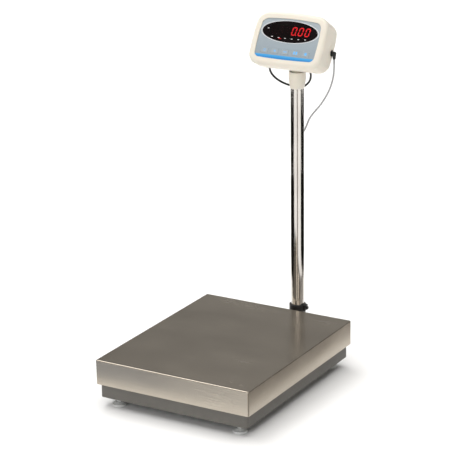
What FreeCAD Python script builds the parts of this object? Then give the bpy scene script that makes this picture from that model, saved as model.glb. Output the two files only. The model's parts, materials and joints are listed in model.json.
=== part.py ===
import FreeCAD, Part
import math
import os
import re

import Sketcher

# Platform shipping scale: a stainless platter over a base with a single-point load cell,
# a column behind it, and a tilting indicator head with a display and five keys.
# Frame: X to the right, Y from the front to the back, Z up, floor at Z = 0.
# The origin is under the middle of the whole scale's footprint.

V = FreeCAD.Vector
TURN_ON_X = V(1, 0, 0)

# Driving sizes, in millimetres and degrees.
SIZES = {
    "platter_width": 400,
    "platter_depth": 500,
    "platter_top": 114.4,
    "platter_sheet": 1.5,
    "platter_corner": 4,
    "platter_edge": 2.6,
    "skirt_depth": 59,
    "frame_side_gap": 5.3,
    "frame_end_gap": 4.5,
    "frame_bottom": 23.5,
    "frame_height": 46,
    "frame_sheet": 2.5,
    "frame_rail": 30,
    "frame_corner": 8,
    "beam_width": 70,
    "beam_thick": 8,
    "cell_length": 150,
    "cell_width": 40,
    "cell_height": 40,
    "cell_mount_inset": 23,
    "cell_bore": 9.5,
    "spacer_low": 4,
    "spider_side_inset": 18.2,
    "spider_end_inset": 24,
    "spider_sheet": 3,
    "spider_rail": 34,
    "pad_height": 8,
    "pad_radius": 15,
    "stop_gap": 1,
    "bolt_radius": 4,
    "bolt_head": 6.5,
    "bolt_head_height": 5,
    "bolt_pitch": 20,
    "level_radius": 11,
    "level_height": 8,
    "level_wall": 2,
    "level_brim": 0.5,
    "foot_side_inset": 33.9,
    "foot_end_inset": 27.3,
    "foot_radius": 17,
    "foot_disc": 5,
    "foot_hub": 10,
    "foot_height": 9,
    "foot_lip": 2,
    "foot_hex": 5,
    "foot_stud": 4,
    "foot_stud_top": 62,
    "foot_nut": 6.4,
    "column_x": 30,
    "column_gap": 47,
    "column_radius": 16,
    "column_wall": 1.5,
    "column_bottom": 46,
    "sleeve_wall": 1.4,
    "sleeve_ledge": 4,
    "socket_wall": 2,
    "socket_top": 99,
    "bracket_thick": 5,
    "bracket_width": 100,
    "bracket_overlap": 68,
    "collar_wall": 4.5,
    "collar_height": 14.4,
    "boss_long": 8,
    "boss_width": 16,
    "clamp_radius": 3,
    "clamp_head": 4,
    "clamp_head_length": 4.6,
    "clamp_head_gap": 0.5,
    "clamp_tip_long": 2.4,
    "grommet_level": 538,
    "grommet_radius": 5,
    "grommet_lip": 1.5,
    "grommet_proud": 2,
    "neck_lip": 0.9,
    "neck_wall": 4.3,
    "neck_height": 41,
    "neck_taper": 20,
    "neck_top": 697,
    "hinge_rise": 15,
    "column_end_gap": 7,
    "tongue_thick": 16,
    "tongue_radius": 12,
    "tongue_root": 2,
    "face_tilt": 30.65,
    "case_width": 192,
    "case_low": -30,
    "case_high": 104,
    "case_back": 17,
    "case_split": 42,
    "case_front": 75.5,
    "case_wall": 2.5,
    "case_corner": 28,
    "case_front_edge": 6,
    "case_rear_edge": 6,
    "case_boss": 5,
    "boss_cover": 8,
    "bezel_side": 16,
    "bezel_end": 17.5,
    "panel_corner": 10,
    "panel_sink": 1.8,
    "overlay_sheet": 0.5,
    "window_inset": 5.5,
    "window_height": 54,
    "window_middle": 55.5,
    "opening_inset": 16.5,
    "opening_height": 40,
    "opening_middle": 54,
    "lens_proud": 0.2,
    "digit_width": 16.6,
    "digit_height": 25,
    "digit_deep": 8,
    "digit_pitch": 17.5,
    "digit_middle": 58,
    "lamp_middle": 39,
    "lamp_radius": 2,
    "key_width": 18,
    "key_height": 12,
    "key_pitch": 27,
    "key_middle": 6.5,
    "key_gap": 0.3,
    "key_travel": 0.5,
    "key_proud": 0.4,
    "key_flange": 1.2,
    "key_flange_gap": 0.1,
    "key_rim": 1.5,
    "key_stem": 2,
    "switch_gap": 2.8,
    "switch_width": 6,
    "board_thick": 1.6,
    "board_corner": 3,
    "board_side_gap": 20.5,
    "board_end_gap": 18.5,
    "display_board": 60,
    "main_board": 34,
    "main_side_gap": 2,
    "main_end_gap": 4,
    "header_middle": 20,
    "header_width": 40,
    "header_depth": 6,
    "post_radius": 3.5,
    "screw_radius": 2,
    "screw_head": 2.5,
    "screw_sink": 3,
    "screw_grip": 11,
    "lead_radius": 2,
    "loop_radius": 2.5,
    "lug_thick": 7,
    "lug_plate": 3,
    "lug_gap": 0.2,
    "plate_side": 11,
    "plate_height": 46,
    "plate_middle": 11,
    "plate_screw_out": 6,
    "plate_screw_low": 2,
    "plate_screw_high": 26,
    "plate_screw_head": 2,
    "tilt_bolt": 4,
    "tilt_bolt_tail": 7,
    "tilt_nut": 7.4,
    "loop_left": -76,
    "loop_right": 33.5,
    "loop_level": -10,
    "gland_radius": 6,
    "gland_height": 5,
    "boot_radius": 4.5,
    "boot_long": 7,
    "boot_wall": 0.7,
    "jack_radius": 6,
    "jack_flange": 1.5,
    "jack_long": 8,
    "plug_level": 29,
    "plug_depth": 28.7,
    "plug_radius": 4.5,
    "elbow_proud": 0.4,
    "plug_reach": 102.6,
    "plug_tail": 24,
    "running_fit": 0.05,
    "clearance": 0.3,
}

# Sizes that follow from the driving ones.
DERIVED = {
    "frame_width": "(platter_width - 2 * platter_sheet - 2 * frame_side_gap)",
    "frame_depth": "(platter_depth - 2 * platter_sheet - 2 * frame_end_gap)",
    "spider_width": "(frame_width - 2 * spider_side_inset)",
    "spider_depth": "(frame_depth - 2 * spider_end_inset)",
    "foot_x": "(frame_width / 2 - foot_side_inset)",
    "foot_y": "(frame_depth / 2 - foot_end_inset)",
    "cell_mount": "(cell_length / 2 - cell_mount_inset)",
    "column_y": "(platter_depth / 2 + column_gap)",
    "bracket_front": "(frame_depth / 2 - bracket_overlap)",
    "neck_bottom": "(neck_top - neck_height)",
    "neck_low_radius": "(column_radius + neck_lip)",
    "neck_radius": "(column_radius + neck_wall)",
    "column_top": "(neck_top - column_end_gap)",
    "hinge_height": "(neck_top + hinge_rise)",
    "socket_radius": "(socket_bore + socket_wall)",
    "collar_radius": "(column_radius + collar_wall)",
    "collar_top": "(socket_top + collar_height)",
    "boss_reach": "(column_radius + boss_long)",
    "panel_width": "(case_width - 2 * bezel_side)",
    "panel_height": "(case_high - case_low - 2 * bezel_end)",
    "panel_middle": "((case_low + case_high) / 2)",
    "window_width": "(panel_width - 2 * window_inset)",
    "opening_width": "(window_width - 2 * opening_inset)",
    "board_width": "(case_width - 2 * case_wall - 2 * board_side_gap)",
    "board_height": "(case_high - case_low - 2 * case_wall - 2 * board_end_gap)",
    "skirt_bottom": "(platter_top - skirt_depth)",
    "platter_under": "(platter_top - platter_sheet)",
    "frame_top": "(frame_bottom + frame_height)",
    "flange_top": "(frame_bottom + frame_sheet)",
    "beam_top": "(flange_top + beam_thick)",
    "cell_bottom": "(beam_top + spacer_low)",
    "cell_top": "(cell_bottom + cell_height)",
    "spider_top": "(platter_under - pad_height)",
    "spider_under": "(spider_top - spider_sheet)",
    "spider_bottom": "(cell_top + spacer_low)",
    "bracket_bottom": "(frame_bottom - bracket_thick)",
    "sleeve_radius": "(column_radius + running_fit + sleeve_wall)",
    "socket_bore": "(sleeve_radius + running_fit)",
    "head_front": "(case_front - panel_sink)",
    "panel_floor": "(head_front - overlay_sheet)",
    "board_face": "(display_board + board_thick)",
    "face_inner": "(panel_floor - case_wall)",
    "switch_top": "(face_inner - switch_gap)",
    "lug_outer": "(tongue_thick / 2 + lug_gap + lug_thick)",
    "rear_reach": "(column_y + (case_high - case_rear_edge) * sin(face_tilt)"
    " - (case_back + case_rear_edge) * cos(face_tilt) + case_rear_edge)",
    "platform_y": "(platter_depth / 4 - rear_reach / 2)",
}

doc = FreeCAD.newDocument("PlatformScale")
sheet = doc.addObject("Spreadsheet::Sheet", "Sizes")
for row, (word, value) in enumerate(SIZES.items(), start=1):
    sheet.set(f"A{row}", word)
    sheet.set(f"B{row}", str(value))
    sheet.setAlias(f"B{row}", word)
doc.recompute()

SUB_PARTS = []

# The load cell is held at its rear end and carries the platter at its front end.
FIXED_END = "cell_mount"
LIVE_END = "-cell_mount"


def formula(text):
    """Writes the named sizes in text out as references to the sheet."""
    text = str(text)
    while any(re.search(rf"\b{word}\b", text) for word in DERIVED):
        text = re.sub(r"\b[a-z_]+\b", lambda found: DERIVED.get(found.group(), found.group()), text)
    return re.sub(
        r"\b[a-z_]+\b",
        lambda found: f"Sizes.{found.group()}" if found.group() in SIZES else found.group(),
        text,
    )


def size(text):
    """The number that a formula gives."""
    found = sheet.evalExpression(formula(text))
    return float(getattr(found, "Value", found))


def bind(item, where, text):
    item.setExpression(where, formula(text))


def new(kind, name, **sizes):
    item = doc.addObject(kind, name)
    for where, text in sizes.items():
        bind(item, where, text)
    return item


def put(item, x=0, y=0, z=0):
    bind(item, "Placement.Base.x", x)
    bind(item, "Placement.Base.y", y)
    bind(item, "Placement.Base.z", z)
    return item


def turn(item, axis, angle):
    item.Placement.Rotation = FreeCAD.Rotation(axis, 1)
    bind(item, "Placement.Rotation.Angle", angle)
    return item


def box(name, middle, wide, deep, high):
    """A block whose middle is over the point x, y and whose underside is at z."""
    x, y, z = middle
    item = new("Part::Box", name, Length=wide, Width=deep, Height=high)
    return put(item, f"{x} - ({wide}) / 2", f"{y} - ({deep}) / 2", z)


def rod(name, start, radius, long, along="z"):
    """A round bar from a point along an axis."""
    item = new("Part::Cylinder", name, Radius=radius, Height=long)
    if along == "x":
        turn(item, V(0, 1, 0), 90)
    if along == "y":
        turn(item, V(1, 0, 0), -90)
    return put(item, *start)


def cone(name, start, low, high, long):
    item = new("Part::Cone", name, Radius1=low, Radius2=high, Height=long)
    return put(item, *start)


def fuse(name, *items):
    item = doc.addObject("Part::MultiFuse", name)
    item.Shapes = list(items)
    return item


def cut(name, base, *tools):
    item = doc.addObject("Part::Cut", name)
    item.Base = base
    item.Tool = tools[0] if len(tools) == 1 else fuse(name + "_tools", *tools)
    return item


def group(name, *items):
    """Separate solids that share a node."""
    item = doc.addObject("Part::Compound", name)
    item.Links = list(items)
    return item


def keep(item, label, where):
    """Names a finished sub-part and puts it in its place on the scale."""
    if item.TypeId in ("Part::Box", "Part::Cylinder"):
        item = group(label + "_set", item)
    item.Label = label
    if where == "platform":
        put(item, 0, "platform_y", 0)
    if where == "column":
        put(item, "column_x", "platform_y + column_y", 0)
    if where == "head":
        turn(item, TURN_ON_X, "90 - face_tilt")
        put(item, "column_x", "platform_y + column_y", "hinge_height")
    SUB_PARTS.append(item)
    return item


def body(name):
    return doc.addObject("PartDesign::Body", name)


def sketch(owner, name, plane, x=0, y=0, z=0):
    """An empty sketch on one of the body's own origin planes, moved by x, y and z in the sketch's axes."""
    item = owner.newObject("Sketcher::SketchObject", name)
    origin = [part for part in owner.Origin.OriginFeatures if part.Role == plane]
    item.AttachmentSupport = [(origin[0], "")]
    item.MapMode = "FlatFace"
    bind(item, "AttachmentOffset.Base.x", x)
    bind(item, "AttachmentOffset.Base.y", y)
    bind(item, "AttachmentOffset.Base.z", z)
    return item


def name_size(item, index, word, text):
    item.renameConstraint(index, word)
    item.setExpression(f"Constraints.{word}", formula(text))


def rounded(item, wide, high, corner, word="outline"):
    """A rectangle with round corners, its middle at the sketch's origin."""
    half_wide, half_high, round_off = size(wide) / 2, size(high) / 2, size(corner)
    flat_wide, flat_high = half_wide - round_off, half_high - round_off
    first = item.GeometryCount
    runs = [
        (V(-flat_wide, -half_high), V(flat_wide, -half_high), V(flat_wide, -flat_high)),
        (V(half_wide, -flat_high), V(half_wide, flat_high), V(flat_wide, flat_high)),
        (V(flat_wide, half_high), V(-flat_wide, half_high), V(-flat_wide, flat_high)),
        (V(-half_wide, flat_high), V(-half_wide, -flat_high), V(-flat_wide, -flat_high)),
    ]
    for side, (start, end, centre) in enumerate(runs):
        item.addGeometry(Part.LineSegment(start, end), False)
        circle = Part.Circle(centre, V(0, 0, 1), round_off)
        quarter = math.pi / 2
        item.addGeometry(Part.ArcOfCircle(circle, (side - 1) * quarter, side * quarter), False)
    for side in range(4):
        line, arc, after = (first + (2 * side + step) % 8 for step in range(3))
        item.addConstraint(Sketcher.Constraint("Tangent", line, 2, arc, 1))
        item.addConstraint(Sketcher.Constraint("Tangent", arc, 2, after, 1))
        item.addConstraint(Sketcher.Constraint("Vertical" if side % 2 else "Horizontal", line))
        if side:
            item.addConstraint(Sketcher.Constraint("Equal", first + 1, arc))
    right, top = first + 2, first + 4
    found = item.addConstraint(Sketcher.Constraint("Radius", first + 1, round_off))
    name_size(item, found, word + "_corner", corner)
    found = item.addConstraint(Sketcher.Constraint("DistanceX", first + 6, 1, right, 1, 2 * half_wide))
    name_size(item, found, word + "_width", wide)
    found = item.addConstraint(Sketcher.Constraint("DistanceY", first, 1, top, 1, 2 * half_high))
    name_size(item, found, word + "_height", high)
    found = item.addConstraint(Sketcher.Constraint("DistanceX", -1, 1, right, 1, half_wide))
    name_size(item, found, word + "_right", f"({wide}) / 2")
    found = item.addConstraint(Sketcher.Constraint("DistanceY", -1, 1, top, 1, half_high))
    name_size(item, found, word + "_top", f"({high}) / 2")
    return item


def ring(item, radius, word="ring"):
    """A circle about the sketch's origin."""
    index = item.addGeometry(Part.Circle(V(0, 0, 0), V(0, 0, 1), size(radius)), False)
    item.addConstraint(Sketcher.Constraint("Coincident", index, 3, -1, 1))
    found = item.addConstraint(Sketcher.Constraint("Radius", index, size(radius)))
    name_size(item, found, word + "_radius", radius)
    return item


def pad(owner, name, profile, long):
    item = owner.newObject("PartDesign::Pad", name)
    item.Profile = profile
    bind(item, "Length", long)
    profile.Visibility = False
    return item


def pocket(owner, name, profile, deep):
    """Cuts the profile upwards, along its sketch's normal."""
    item = owner.newObject("PartDesign::Pocket", name)
    item.Profile = profile
    item.Reversed = True
    bind(item, "Length", deep)
    return item


def round_face(owner, name, highest, radius):
    """Rounds the edges of the face that is highest, or lowest, along Z."""
    doc.recompute()
    base = owner.Tip
    faces = base.Shape.Faces
    flat = [(face.CenterOfMass.z, face.BoundBox.ZLength, index) for index, face in enumerate(faces, 1)]
    level = [row for row in flat if row[1] < 1e-6]
    found = max(level) if highest else min(level)
    item = owner.newObject("PartDesign::Fillet", name)
    item.Base = (base, [f"Face{found[2]}"])
    bind(item, "Radius", radius)
    return item


def plate(name, wide, deep, corner, low, high, x=0, y=0):
    """A flat plate with round corners, between two heights."""
    owner = body(name)
    outline = rounded(sketch(owner, name + "_outline", "XY_Plane", x, y, low), wide, deep, corner)
    pad(owner, name + "_pad", outline, f"({high}) - ({low})")
    return owner


def run_radii(points):
    """The bend radius at each inner point of a lead: as large as its two runs allow."""
    radii = []
    for before, here, after in zip(points, points[1:], points[2:]):
        first, second = here - before, after - here
        half_turn = first.getAngle(second) / 2
        radii.append(0.45 * min(first.Length, second.Length) / math.tan(half_turn))
    return radii


def lead(name, points, radius):
    """A round lead along straight runs joined by tangent arcs."""
    points = [V(*point) for point in points]
    edges, at, long = [], points[0], 0.0
    for index, bend in enumerate(run_radii(points), start=1):
        before, here, after = points[index - 1 : index + 2]
        into, out = (here - before).normalize(), (after - here).normalize()
        half_turn = into.getAngle(out) / 2
        back = bend * math.tan(half_turn)
        start, end = here - into * back, here + out * back
        inward = (out - into).normalize()
        middle = here + inward * (bend / math.cos(half_turn) - bend)
        edges += [Part.LineSegment(at, start).toShape(), Part.Arc(start, middle, end).toShape()]
        long += (start - at).Length + 2 * half_turn * bend
        at = end
    edges.append(Part.LineSegment(at, points[-1]).toShape())
    long += (points[-1] - at).Length
    spine = Part.Wire(edges)
    section = Part.Wire([Part.Circle(points[0], points[1] - points[0], size(radius)).toShape()])
    tube = spine.makePipeShell([section], True, False)
    expected = math.pi * size(radius) ** 2 * long
    if abs(tube.Volume / expected - 1) > 0.01:
        raise ValueError(f"{name}: volume {tube.Volume:.1f}, but its section times its length is {expected:.1f}")
    print(name, "length", round(long, 1), "radii", [round(bend, 1) for bend in run_radii(points)])
    item = doc.addObject("Part::Feature", name)
    item.Shape = tube
    return item


# The platter and what it rests on.


def make_platter():
    owner = body("platter_body")
    wall = sketch(owner, "platter_outline", "XY_Plane", 0, 0, "skirt_bottom")
    rounded(wall, "platter_width", "platter_depth", "platter_corner")
    pad(owner, "platter_pad", wall, "skirt_depth")
    round_face(owner, "platter_bend", True, "platter_edge")
    inside = sketch(owner, "platter_inside", "XY_Plane", 0, 0, "skirt_bottom")
    rounded(
        inside,
        "platter_width - 2 * platter_sheet",
        "platter_depth - 2 * platter_sheet",
        "platter_corner - platter_sheet",
    )
    pocket(owner, "platter_hollow", inside, "skirt_depth - platter_sheet")
    keep(owner, "platter", "platform")


def corner_points(x, y):
    return [(f"{side} * ({x})", f"{end} * ({y})") for side in (-1, 1) for end in (-1, 1)]


def make_platter_pads():
    x, y = "(spider_width / 2 - spider_rail / 2)", "(spider_depth / 2 - spider_rail / 2)"
    pads = [
        rod(f"pad_{index}", (px, py, "spider_top"), "pad_radius", "pad_height")
        for index, (px, py) in enumerate(corner_points(x, y), 1)
    ]
    keep(group("pads", *pads), "platter_pads", "platform")


def make_spider():
    """A welded upper frame: a top sheet with two windows, and flanges that hang from its edges."""
    owner = body("spider_body")
    top = sketch(owner, "spider_top", "XY_Plane", 0, 0, "spider_under")
    rounded(top, "spider_width", "spider_depth", "frame_corner")
    pad(owner, "spider_sheet_pad", top, "spider_sheet")
    rim = sketch(owner, "spider_rim", "XY_Plane", 0, 0, "spider_bottom")
    rounded(rim, "spider_width", "spider_depth", "frame_corner", "outer")
    rounded(
        rim,
        "spider_width - 2 * spider_sheet",
        "spider_depth - 2 * spider_sheet",
        "frame_corner - spider_sheet",
        "inner",
    )
    pad(owner, "spider_flange", rim, "spider_under - spider_bottom + 0.1 * spider_sheet")
    windows = []
    inside = "(spider_width - 2 * spider_rail)"
    near, far = "(-spider_depth / 2 + spider_rail)", "(spider_depth / 2 - spider_rail)"
    bar_low, bar_high = f"({LIVE_END} - spider_rail)", f"({LIVE_END} + spider_rail)"
    for word, low, high in (("front", near, bar_low), ("rear", bar_high, far)):
        middle, deep = f"({low} + {high}) / 2", f"({high} - {low})"
        windows.append(box(f"window_{word}", (0, middle, "spider_under"), inside, deep, "spider_sheet"))
    bores = [
        rod(f"spider_bore_{index}", (0, y, "spider_under"), "bolt_radius + running_fit", "spider_sheet")
        for index, y in enumerate(bolt_places(LIVE_END), 1)
    ]
    keep(cut("spider", owner, *windows, *bores), "spider_frame", "platform")


def bolt_places(middle):
    return [f"{middle} - bolt_pitch / 2", f"{middle} + bolt_pitch / 2"]


def make_load_cell():
    """A single-point cell: a block with two joined bores that leave thin bending webs."""
    block = box("cell_block", (0, 0, "cell_bottom"), "cell_width", "cell_length", "cell_height")
    level = "cell_bottom + cell_height / 2"
    start = "-cell_width / 2"
    web = [
        rod(f"cell_web_{index}", (start, f"{side} * 1.5 * cell_bore", level), "cell_bore", "cell_width", "x")
        for index, side in enumerate((-1, 1), 1)
    ]
    slot = box("cell_slot", (0, 0, f"{level} - cell_bore / 2"), "cell_width", "3 * cell_bore", "cell_bore")
    bores = [
        rod(f"cell_hole_{index}", (0, y, "cell_bottom"), "bolt_radius + running_fit", "cell_height")
        for index, y in enumerate(bolt_places(FIXED_END) + bolt_places(LIVE_END), 1)
    ]
    keep(cut("cell", block, *web, slot, *bores), "load_cell", "platform")


def make_spacer(name, y, low, high):
    block = box(name + "_block", (0, y, low), "cell_width", "cell_width", f"{high} - ({low})")
    bores = [
        rod(f"{name}_hole_{index}", (0, place, low), "bolt_radius + running_fit", f"{high} - ({low})")
        for index, place in enumerate(bolt_places(y), 1)
    ]
    keep(cut(name + "_cut", block, *bores), name, "platform")


def bolt(name, x, y, head_low, shank_low, shank_long):
    head = rod(name + "_head", (x, y, head_low), "bolt_head", "bolt_head_height")
    shank = rod(name + "_shank", (x, y, shank_low), "bolt_radius", shank_long)
    return fuse(name, head, shank)


def make_cell_bolts():
    reach = "0.6 * cell_height"
    lower = [
        bolt(
            f"lower_{index}", 0, y, "flange_top - bolt_head_height", "flange_top",
            f"beam_thick + spacer_low + {reach}",
        )
        for index, y in enumerate(bolt_places(FIXED_END), 1)
    ]
    keep(group("lower_bolts", *lower), "cell_lower_bolts", "platform")
    upper = [
        bolt(
            f"upper_{index}", 0, y, "spider_top", f"cell_top - {reach}",
            f"spider_top - cell_top + {reach}",
        )
        for index, y in enumerate(bolt_places(LIVE_END), 1)
    ]
    keep(group("upper_bolts", *upper), "cell_upper_bolts", "platform")


# The base.


def make_base_frame():
    """A channel bent inwards all round, open along its inner side."""
    owner = body("frame_body")
    outline = sketch(owner, "frame_outline", "XY_Plane", 0, 0, "frame_bottom")
    rounded(outline, "frame_width", "frame_depth", "frame_corner", "outer")
    rounded(
        outline,
        "frame_width - 2 * frame_rail",
        "frame_depth - 2 * frame_rail",
        "frame_corner",
        "inner",
    )
    pad(owner, "frame_pad", outline, "frame_height")
    hollow = sketch(owner, "frame_channel", "XY_Plane", 0, 0, "flange_top")
    rounded(
        hollow,
        "frame_width - 2 * frame_sheet",
        "frame_depth - 2 * frame_sheet",
        "frame_corner - frame_sheet",
    )
    pocket(owner, "frame_hollow", hollow, "frame_height - 2 * frame_sheet")
    stud_holes = [
        rod(f"stud_hole_{index}", (x, y, "frame_bottom"), "foot_stud + clearance", "frame_height")
        for index, (x, y) in enumerate(corner_points("foot_x", "foot_y"), 1)
    ]
    bolt_holes = [
        rod(f"bracket_hole_{index}", (x, y, "frame_bottom"), "bolt_radius + running_fit", "frame_sheet")
        for index, (x, y) in enumerate(bracket_bolt_places(), 1)
    ]
    lead_hole = rod(
        "lead_hole", ("column_x", "frame_depth / 2 - 2 * frame_sheet", LEAD_LEVEL),
        "2 * lead_radius", "3 * frame_sheet", "y",
    )
    beam_holes = [
        rod(f"beam_hole_{index}", (x, y, "frame_bottom"), "screw_radius + running_fit", "frame_sheet")
        for index, (x, y) in enumerate(beam_screw_places(), 1)
    ]
    under_flange = "frame_top - frame_sheet"
    stop_holes = [
        rod(f"stop_hole_{index}", (x, y, under_flange), "bolt_radius + running_fit", "frame_sheet")
        for index, (x, y) in enumerate(corner_points(STOP_X, STOP_Y), 1)
    ]
    drilled = cut("frame_drilled", owner, *stud_holes, *bolt_holes, lead_hole, *beam_holes, *stop_holes)
    keep(drilled, "base_frame", "platform")


LEAD_LEVEL = "(flange_top + 3 * lead_radius)"
STOP_X = "(spider_width / 2 - spider_sheet / 2)"
STOP_Y = "(spider_depth / 3)"


def bracket_bolt_places():
    reach = "(bracket_width / 2 - 2 * bolt_head)"
    front = "(frame_depth / 2 - frame_rail / 2)"
    return [(f"column_x + {side} * {reach}", front) for side in (-1, -0.33, 0.33, 1)]


def beam_screw_places():
    x = "(frame_width / 2 - frame_rail / 2 - frame_sheet)"
    return [(px, f"{FIXED_END} + {py}") for px, py in corner_points(x, "beam_width / 4")]


def make_beam():
    wide = "frame_width - 4 * frame_sheet"
    block = box("beam_block", (0, FIXED_END, "flange_top"), wide, "beam_width", "beam_thick")
    bores = [
        rod(f"beam_bore_{index}", (0, y, "flange_top"), "bolt_radius + running_fit", "beam_thick")
        for index, y in enumerate(bolt_places(FIXED_END), 1)
    ]
    ends = [
        rod(f"beam_end_{index}", (x, y, "flange_top"), "screw_radius + running_fit", "beam_thick")
        for index, (x, y) in enumerate(beam_screw_places(), 1)
    ]
    keep(cut("beam", block, *bores, *ends), "cell_beam", "platform")


def make_beam_screws():
    screws = []
    for index, (x, y) in enumerate(beam_screw_places(), 1):
        low = "frame_bottom - screw_radius"
        head = rod(f"beam_head_{index}", (x, y, low), "2 * screw_radius", "screw_radius")
        shank = rod(f"beam_shank_{index}", (x, y, "frame_bottom"), "screw_radius", "frame_sheet + beam_thick")
        screws.append(fuse(f"beam_screw_{index}", head, shank))
    keep(group("beam_screws_group", *screws), "beam_screws", "platform")


def make_stops():
    """Screws whose heads stand just under the spider's flanges and take an overload."""
    stops = []
    for index, (x, y) in enumerate(corner_points(STOP_X, STOP_Y), 1):
        head_high, shank_long = "spider_bottom - stop_gap - frame_top", "(4 * frame_sheet)"
        head = rod(f"stop_head_{index}", (x, y, "frame_top"), "bolt_head", head_high)
        shank = rod(f"stop_shank_{index}", (x, y, f"frame_top - {shank_long}"), "bolt_radius", shank_long)
        stops.append(fuse(f"stop_{index}", head, shank))
    keep(group("stops", *stops), "overload_stops", "platform")


LEVEL_PLACE = ("-spider_width / 3", "-(frame_depth / 2 - frame_rail / 2)")


def make_level():
    x, y = LEVEL_PLACE
    cup = rod("level_cup", (x, y, "frame_top"), "level_radius", "level_height")
    floor, inner = "frame_top + level_wall", "level_radius - level_wall"
    well = rod("level_well", (x, y, floor), inner, "level_height - level_wall")
    keep(cut("level_body", cup, well), "level_housing", "platform")
    vial = rod("vial", (x, y, floor), f"{inner} - running_fit", "level_height - level_wall - level_brim")
    keep(vial, "level_vial", "platform")


def make_feet():
    for index, (x, y) in enumerate(corner_points("foot_x", "foot_y"), 1):
        disc = rod(f"foot_disc_{index}", (x, y, 0), "foot_radius", "foot_disc")
        slope, hub_high = "foot_radius - foot_lip", "foot_height - foot_disc"
        hub = cone(f"foot_cone_{index}", (x, y, "foot_disc"), slope, "foot_hub", hub_high)
        socket = rod(f"foot_well_{index}", (x, y, "foot_disc"), "foot_stud + running_fit", "foot_height")
        pad_whole = fuse(f"foot_solid_{index}", disc, hub)
        keep(cut(f"foot_{index}", pad_whole, socket), f"foot_pad_{index}", "platform")
        stud = rod(f"stud_rod_{index}", (x, y, "foot_disc"), "foot_stud", "foot_stud_top - foot_disc")
        collar = new("Part::Prism", f"stud_hex_{index}", Circumradius="foot_nut", Height="foot_hex")
        put(collar, x, y, "foot_height")
        keep(fuse(f"stud_{index}", stud, collar), f"foot_stud_{index}", "platform")


def make_foot_nuts():
    nuts = []
    for index, (x, y) in enumerate(corner_points("foot_x", "foot_y"), 1):
        low = "foot_height + foot_hex + clearance"
        high = f"frame_bottom - ({low})"
        nut = put(new("Part::Prism", f"nut_hex_{index}", Circumradius="foot_nut", Height=high), x, y, low)
        bore = rod(f"nut_bore_{index}", (x, y, low), "foot_stud + running_fit", high)
        nuts.append(cut(f"nut_{index}", nut, bore))
    keep(group("nuts", *nuts), "foot_locknuts", "platform")


# The column's mounting on the base.


def make_bracket():
    """A plate under the rear rail that carries the socket tube behind the platter."""
    deep = "(column_y + 1.2 * socket_radius - bracket_front)"
    owner = plate(
        "bracket_body", "bracket_width", deep, "socket_radius", "bracket_bottom", "frame_bottom",
        "column_x", f"bracket_front + {deep} / 2",
    )
    bores = [
        rod(f"bracket_bore_{index}", (x, y, "bracket_bottom"), "bolt_radius + running_fit", "bracket_thick")
        for index, (x, y) in enumerate(bracket_bolt_places(), 1)
    ]
    keep(cut("bracket", owner, *bores), "column_bracket", "platform")


def make_bracket_bolts():
    bolts = []
    for index, (x, y) in enumerate(bracket_bolt_places(), 1):
        low = "bracket_bottom - bolt_head_height"
        bolts.append(bolt(f"bracket_bolt_{index}", x, y, low, "bracket_bottom", "bracket_thick + 3 * frame_sheet"))
    keep(group("bracket_bolt_group", *bolts), "bracket_bolts", "platform")


def make_socket():
    outer = rod("socket_outer", (0, 0, "frame_bottom"), "socket_radius", "socket_top - frame_bottom")
    bore = rod("socket_bore", (0, 0, "frame_bottom"), "socket_bore", "socket_top - frame_bottom")
    lead_hole = rod(
        "socket_lead_hole", (0, "-socket_radius - 1", LEAD_LEVEL), "2 * lead_radius", "socket_radius", "y"
    )
    keep(cut("socket", outer, bore, lead_hole), "socket_tube", "column")


def make_sleeve():
    """A nylon liner with a ledge that the column stands and turns on."""
    low = "(column_bottom - sleeve_ledge)"
    outer = rod("sleeve_outer", (0, 0, low), "sleeve_radius", f"socket_top - {low}")
    bore = rod("sleeve_bore", (0, 0, "column_bottom"), "column_radius + running_fit", "socket_top")
    eye = rod("sleeve_eye", (0, 0, low), "column_radius - sleeve_ledge", "sleeve_ledge")
    keep(cut("sleeve", outer, bore, eye), "column_sleeve", "column")


def make_collar():
    high = "collar_top - socket_top"
    round_part = rod("collar_round", (0, 0, "socket_top"), "collar_radius", high)
    boss_long = "(boss_reach - column_radius / 2)"
    boss = box(
        "collar_boss", (f"column_radius / 2 + {boss_long} / 2", 0, "socket_top"), boss_long, "boss_width", high
    )
    bore = rod("collar_bore", (0, 0, "socket_top"), "column_radius + clearance", high)
    thread = rod("collar_thread", (0, 0, CLAMP_LEVEL), "clamp_radius + running_fit", "boss_reach", "x")
    keep(cut("collar", fuse("collar_solid", round_part, boss), bore, thread), "clamp_collar", "column")


CLAMP_LEVEL = "((collar_top + socket_top) / 2)"


def make_clamp():
    """The thumb screw, and the nylon tip that it pushes against the column."""
    tip = rod("tip", ("column_radius + clearance", 0, CLAMP_LEVEL), "clamp_radius", "clamp_tip_long", "x")
    keep(tip, "clamp_tip", "column")
    start, knob = "(column_radius + clearance + clamp_tip_long)", "(boss_reach + clamp_head_gap)"
    shank = rod("clamp_shank", (start, 0, CLAMP_LEVEL), "clamp_radius", f"{knob} - {start}", "x")
    head = rod("clamp_knob", (knob, 0, CLAMP_LEVEL), "clamp_head", "clamp_head_length", "x")
    keep(fuse("clamp", shank, head), "clamp_screw", "column")


# The column.


def make_column():
    owner = body("column_body")
    profile = sketch(owner, "column_ring", "XY_Plane", 0, 0, "column_bottom")
    ring(profile, "column_radius", "outer")
    ring(profile, "column_radius - column_wall", "inner")
    pad(owner, "column_pad", profile, "column_top - column_bottom")
    hole = rod("column_hole", (0, 0, "grommet_level"), "grommet_radius - grommet_lip", "2 * column_radius", "y")
    keep(cut("column", owner, hole), "column_tube", "column")


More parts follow.
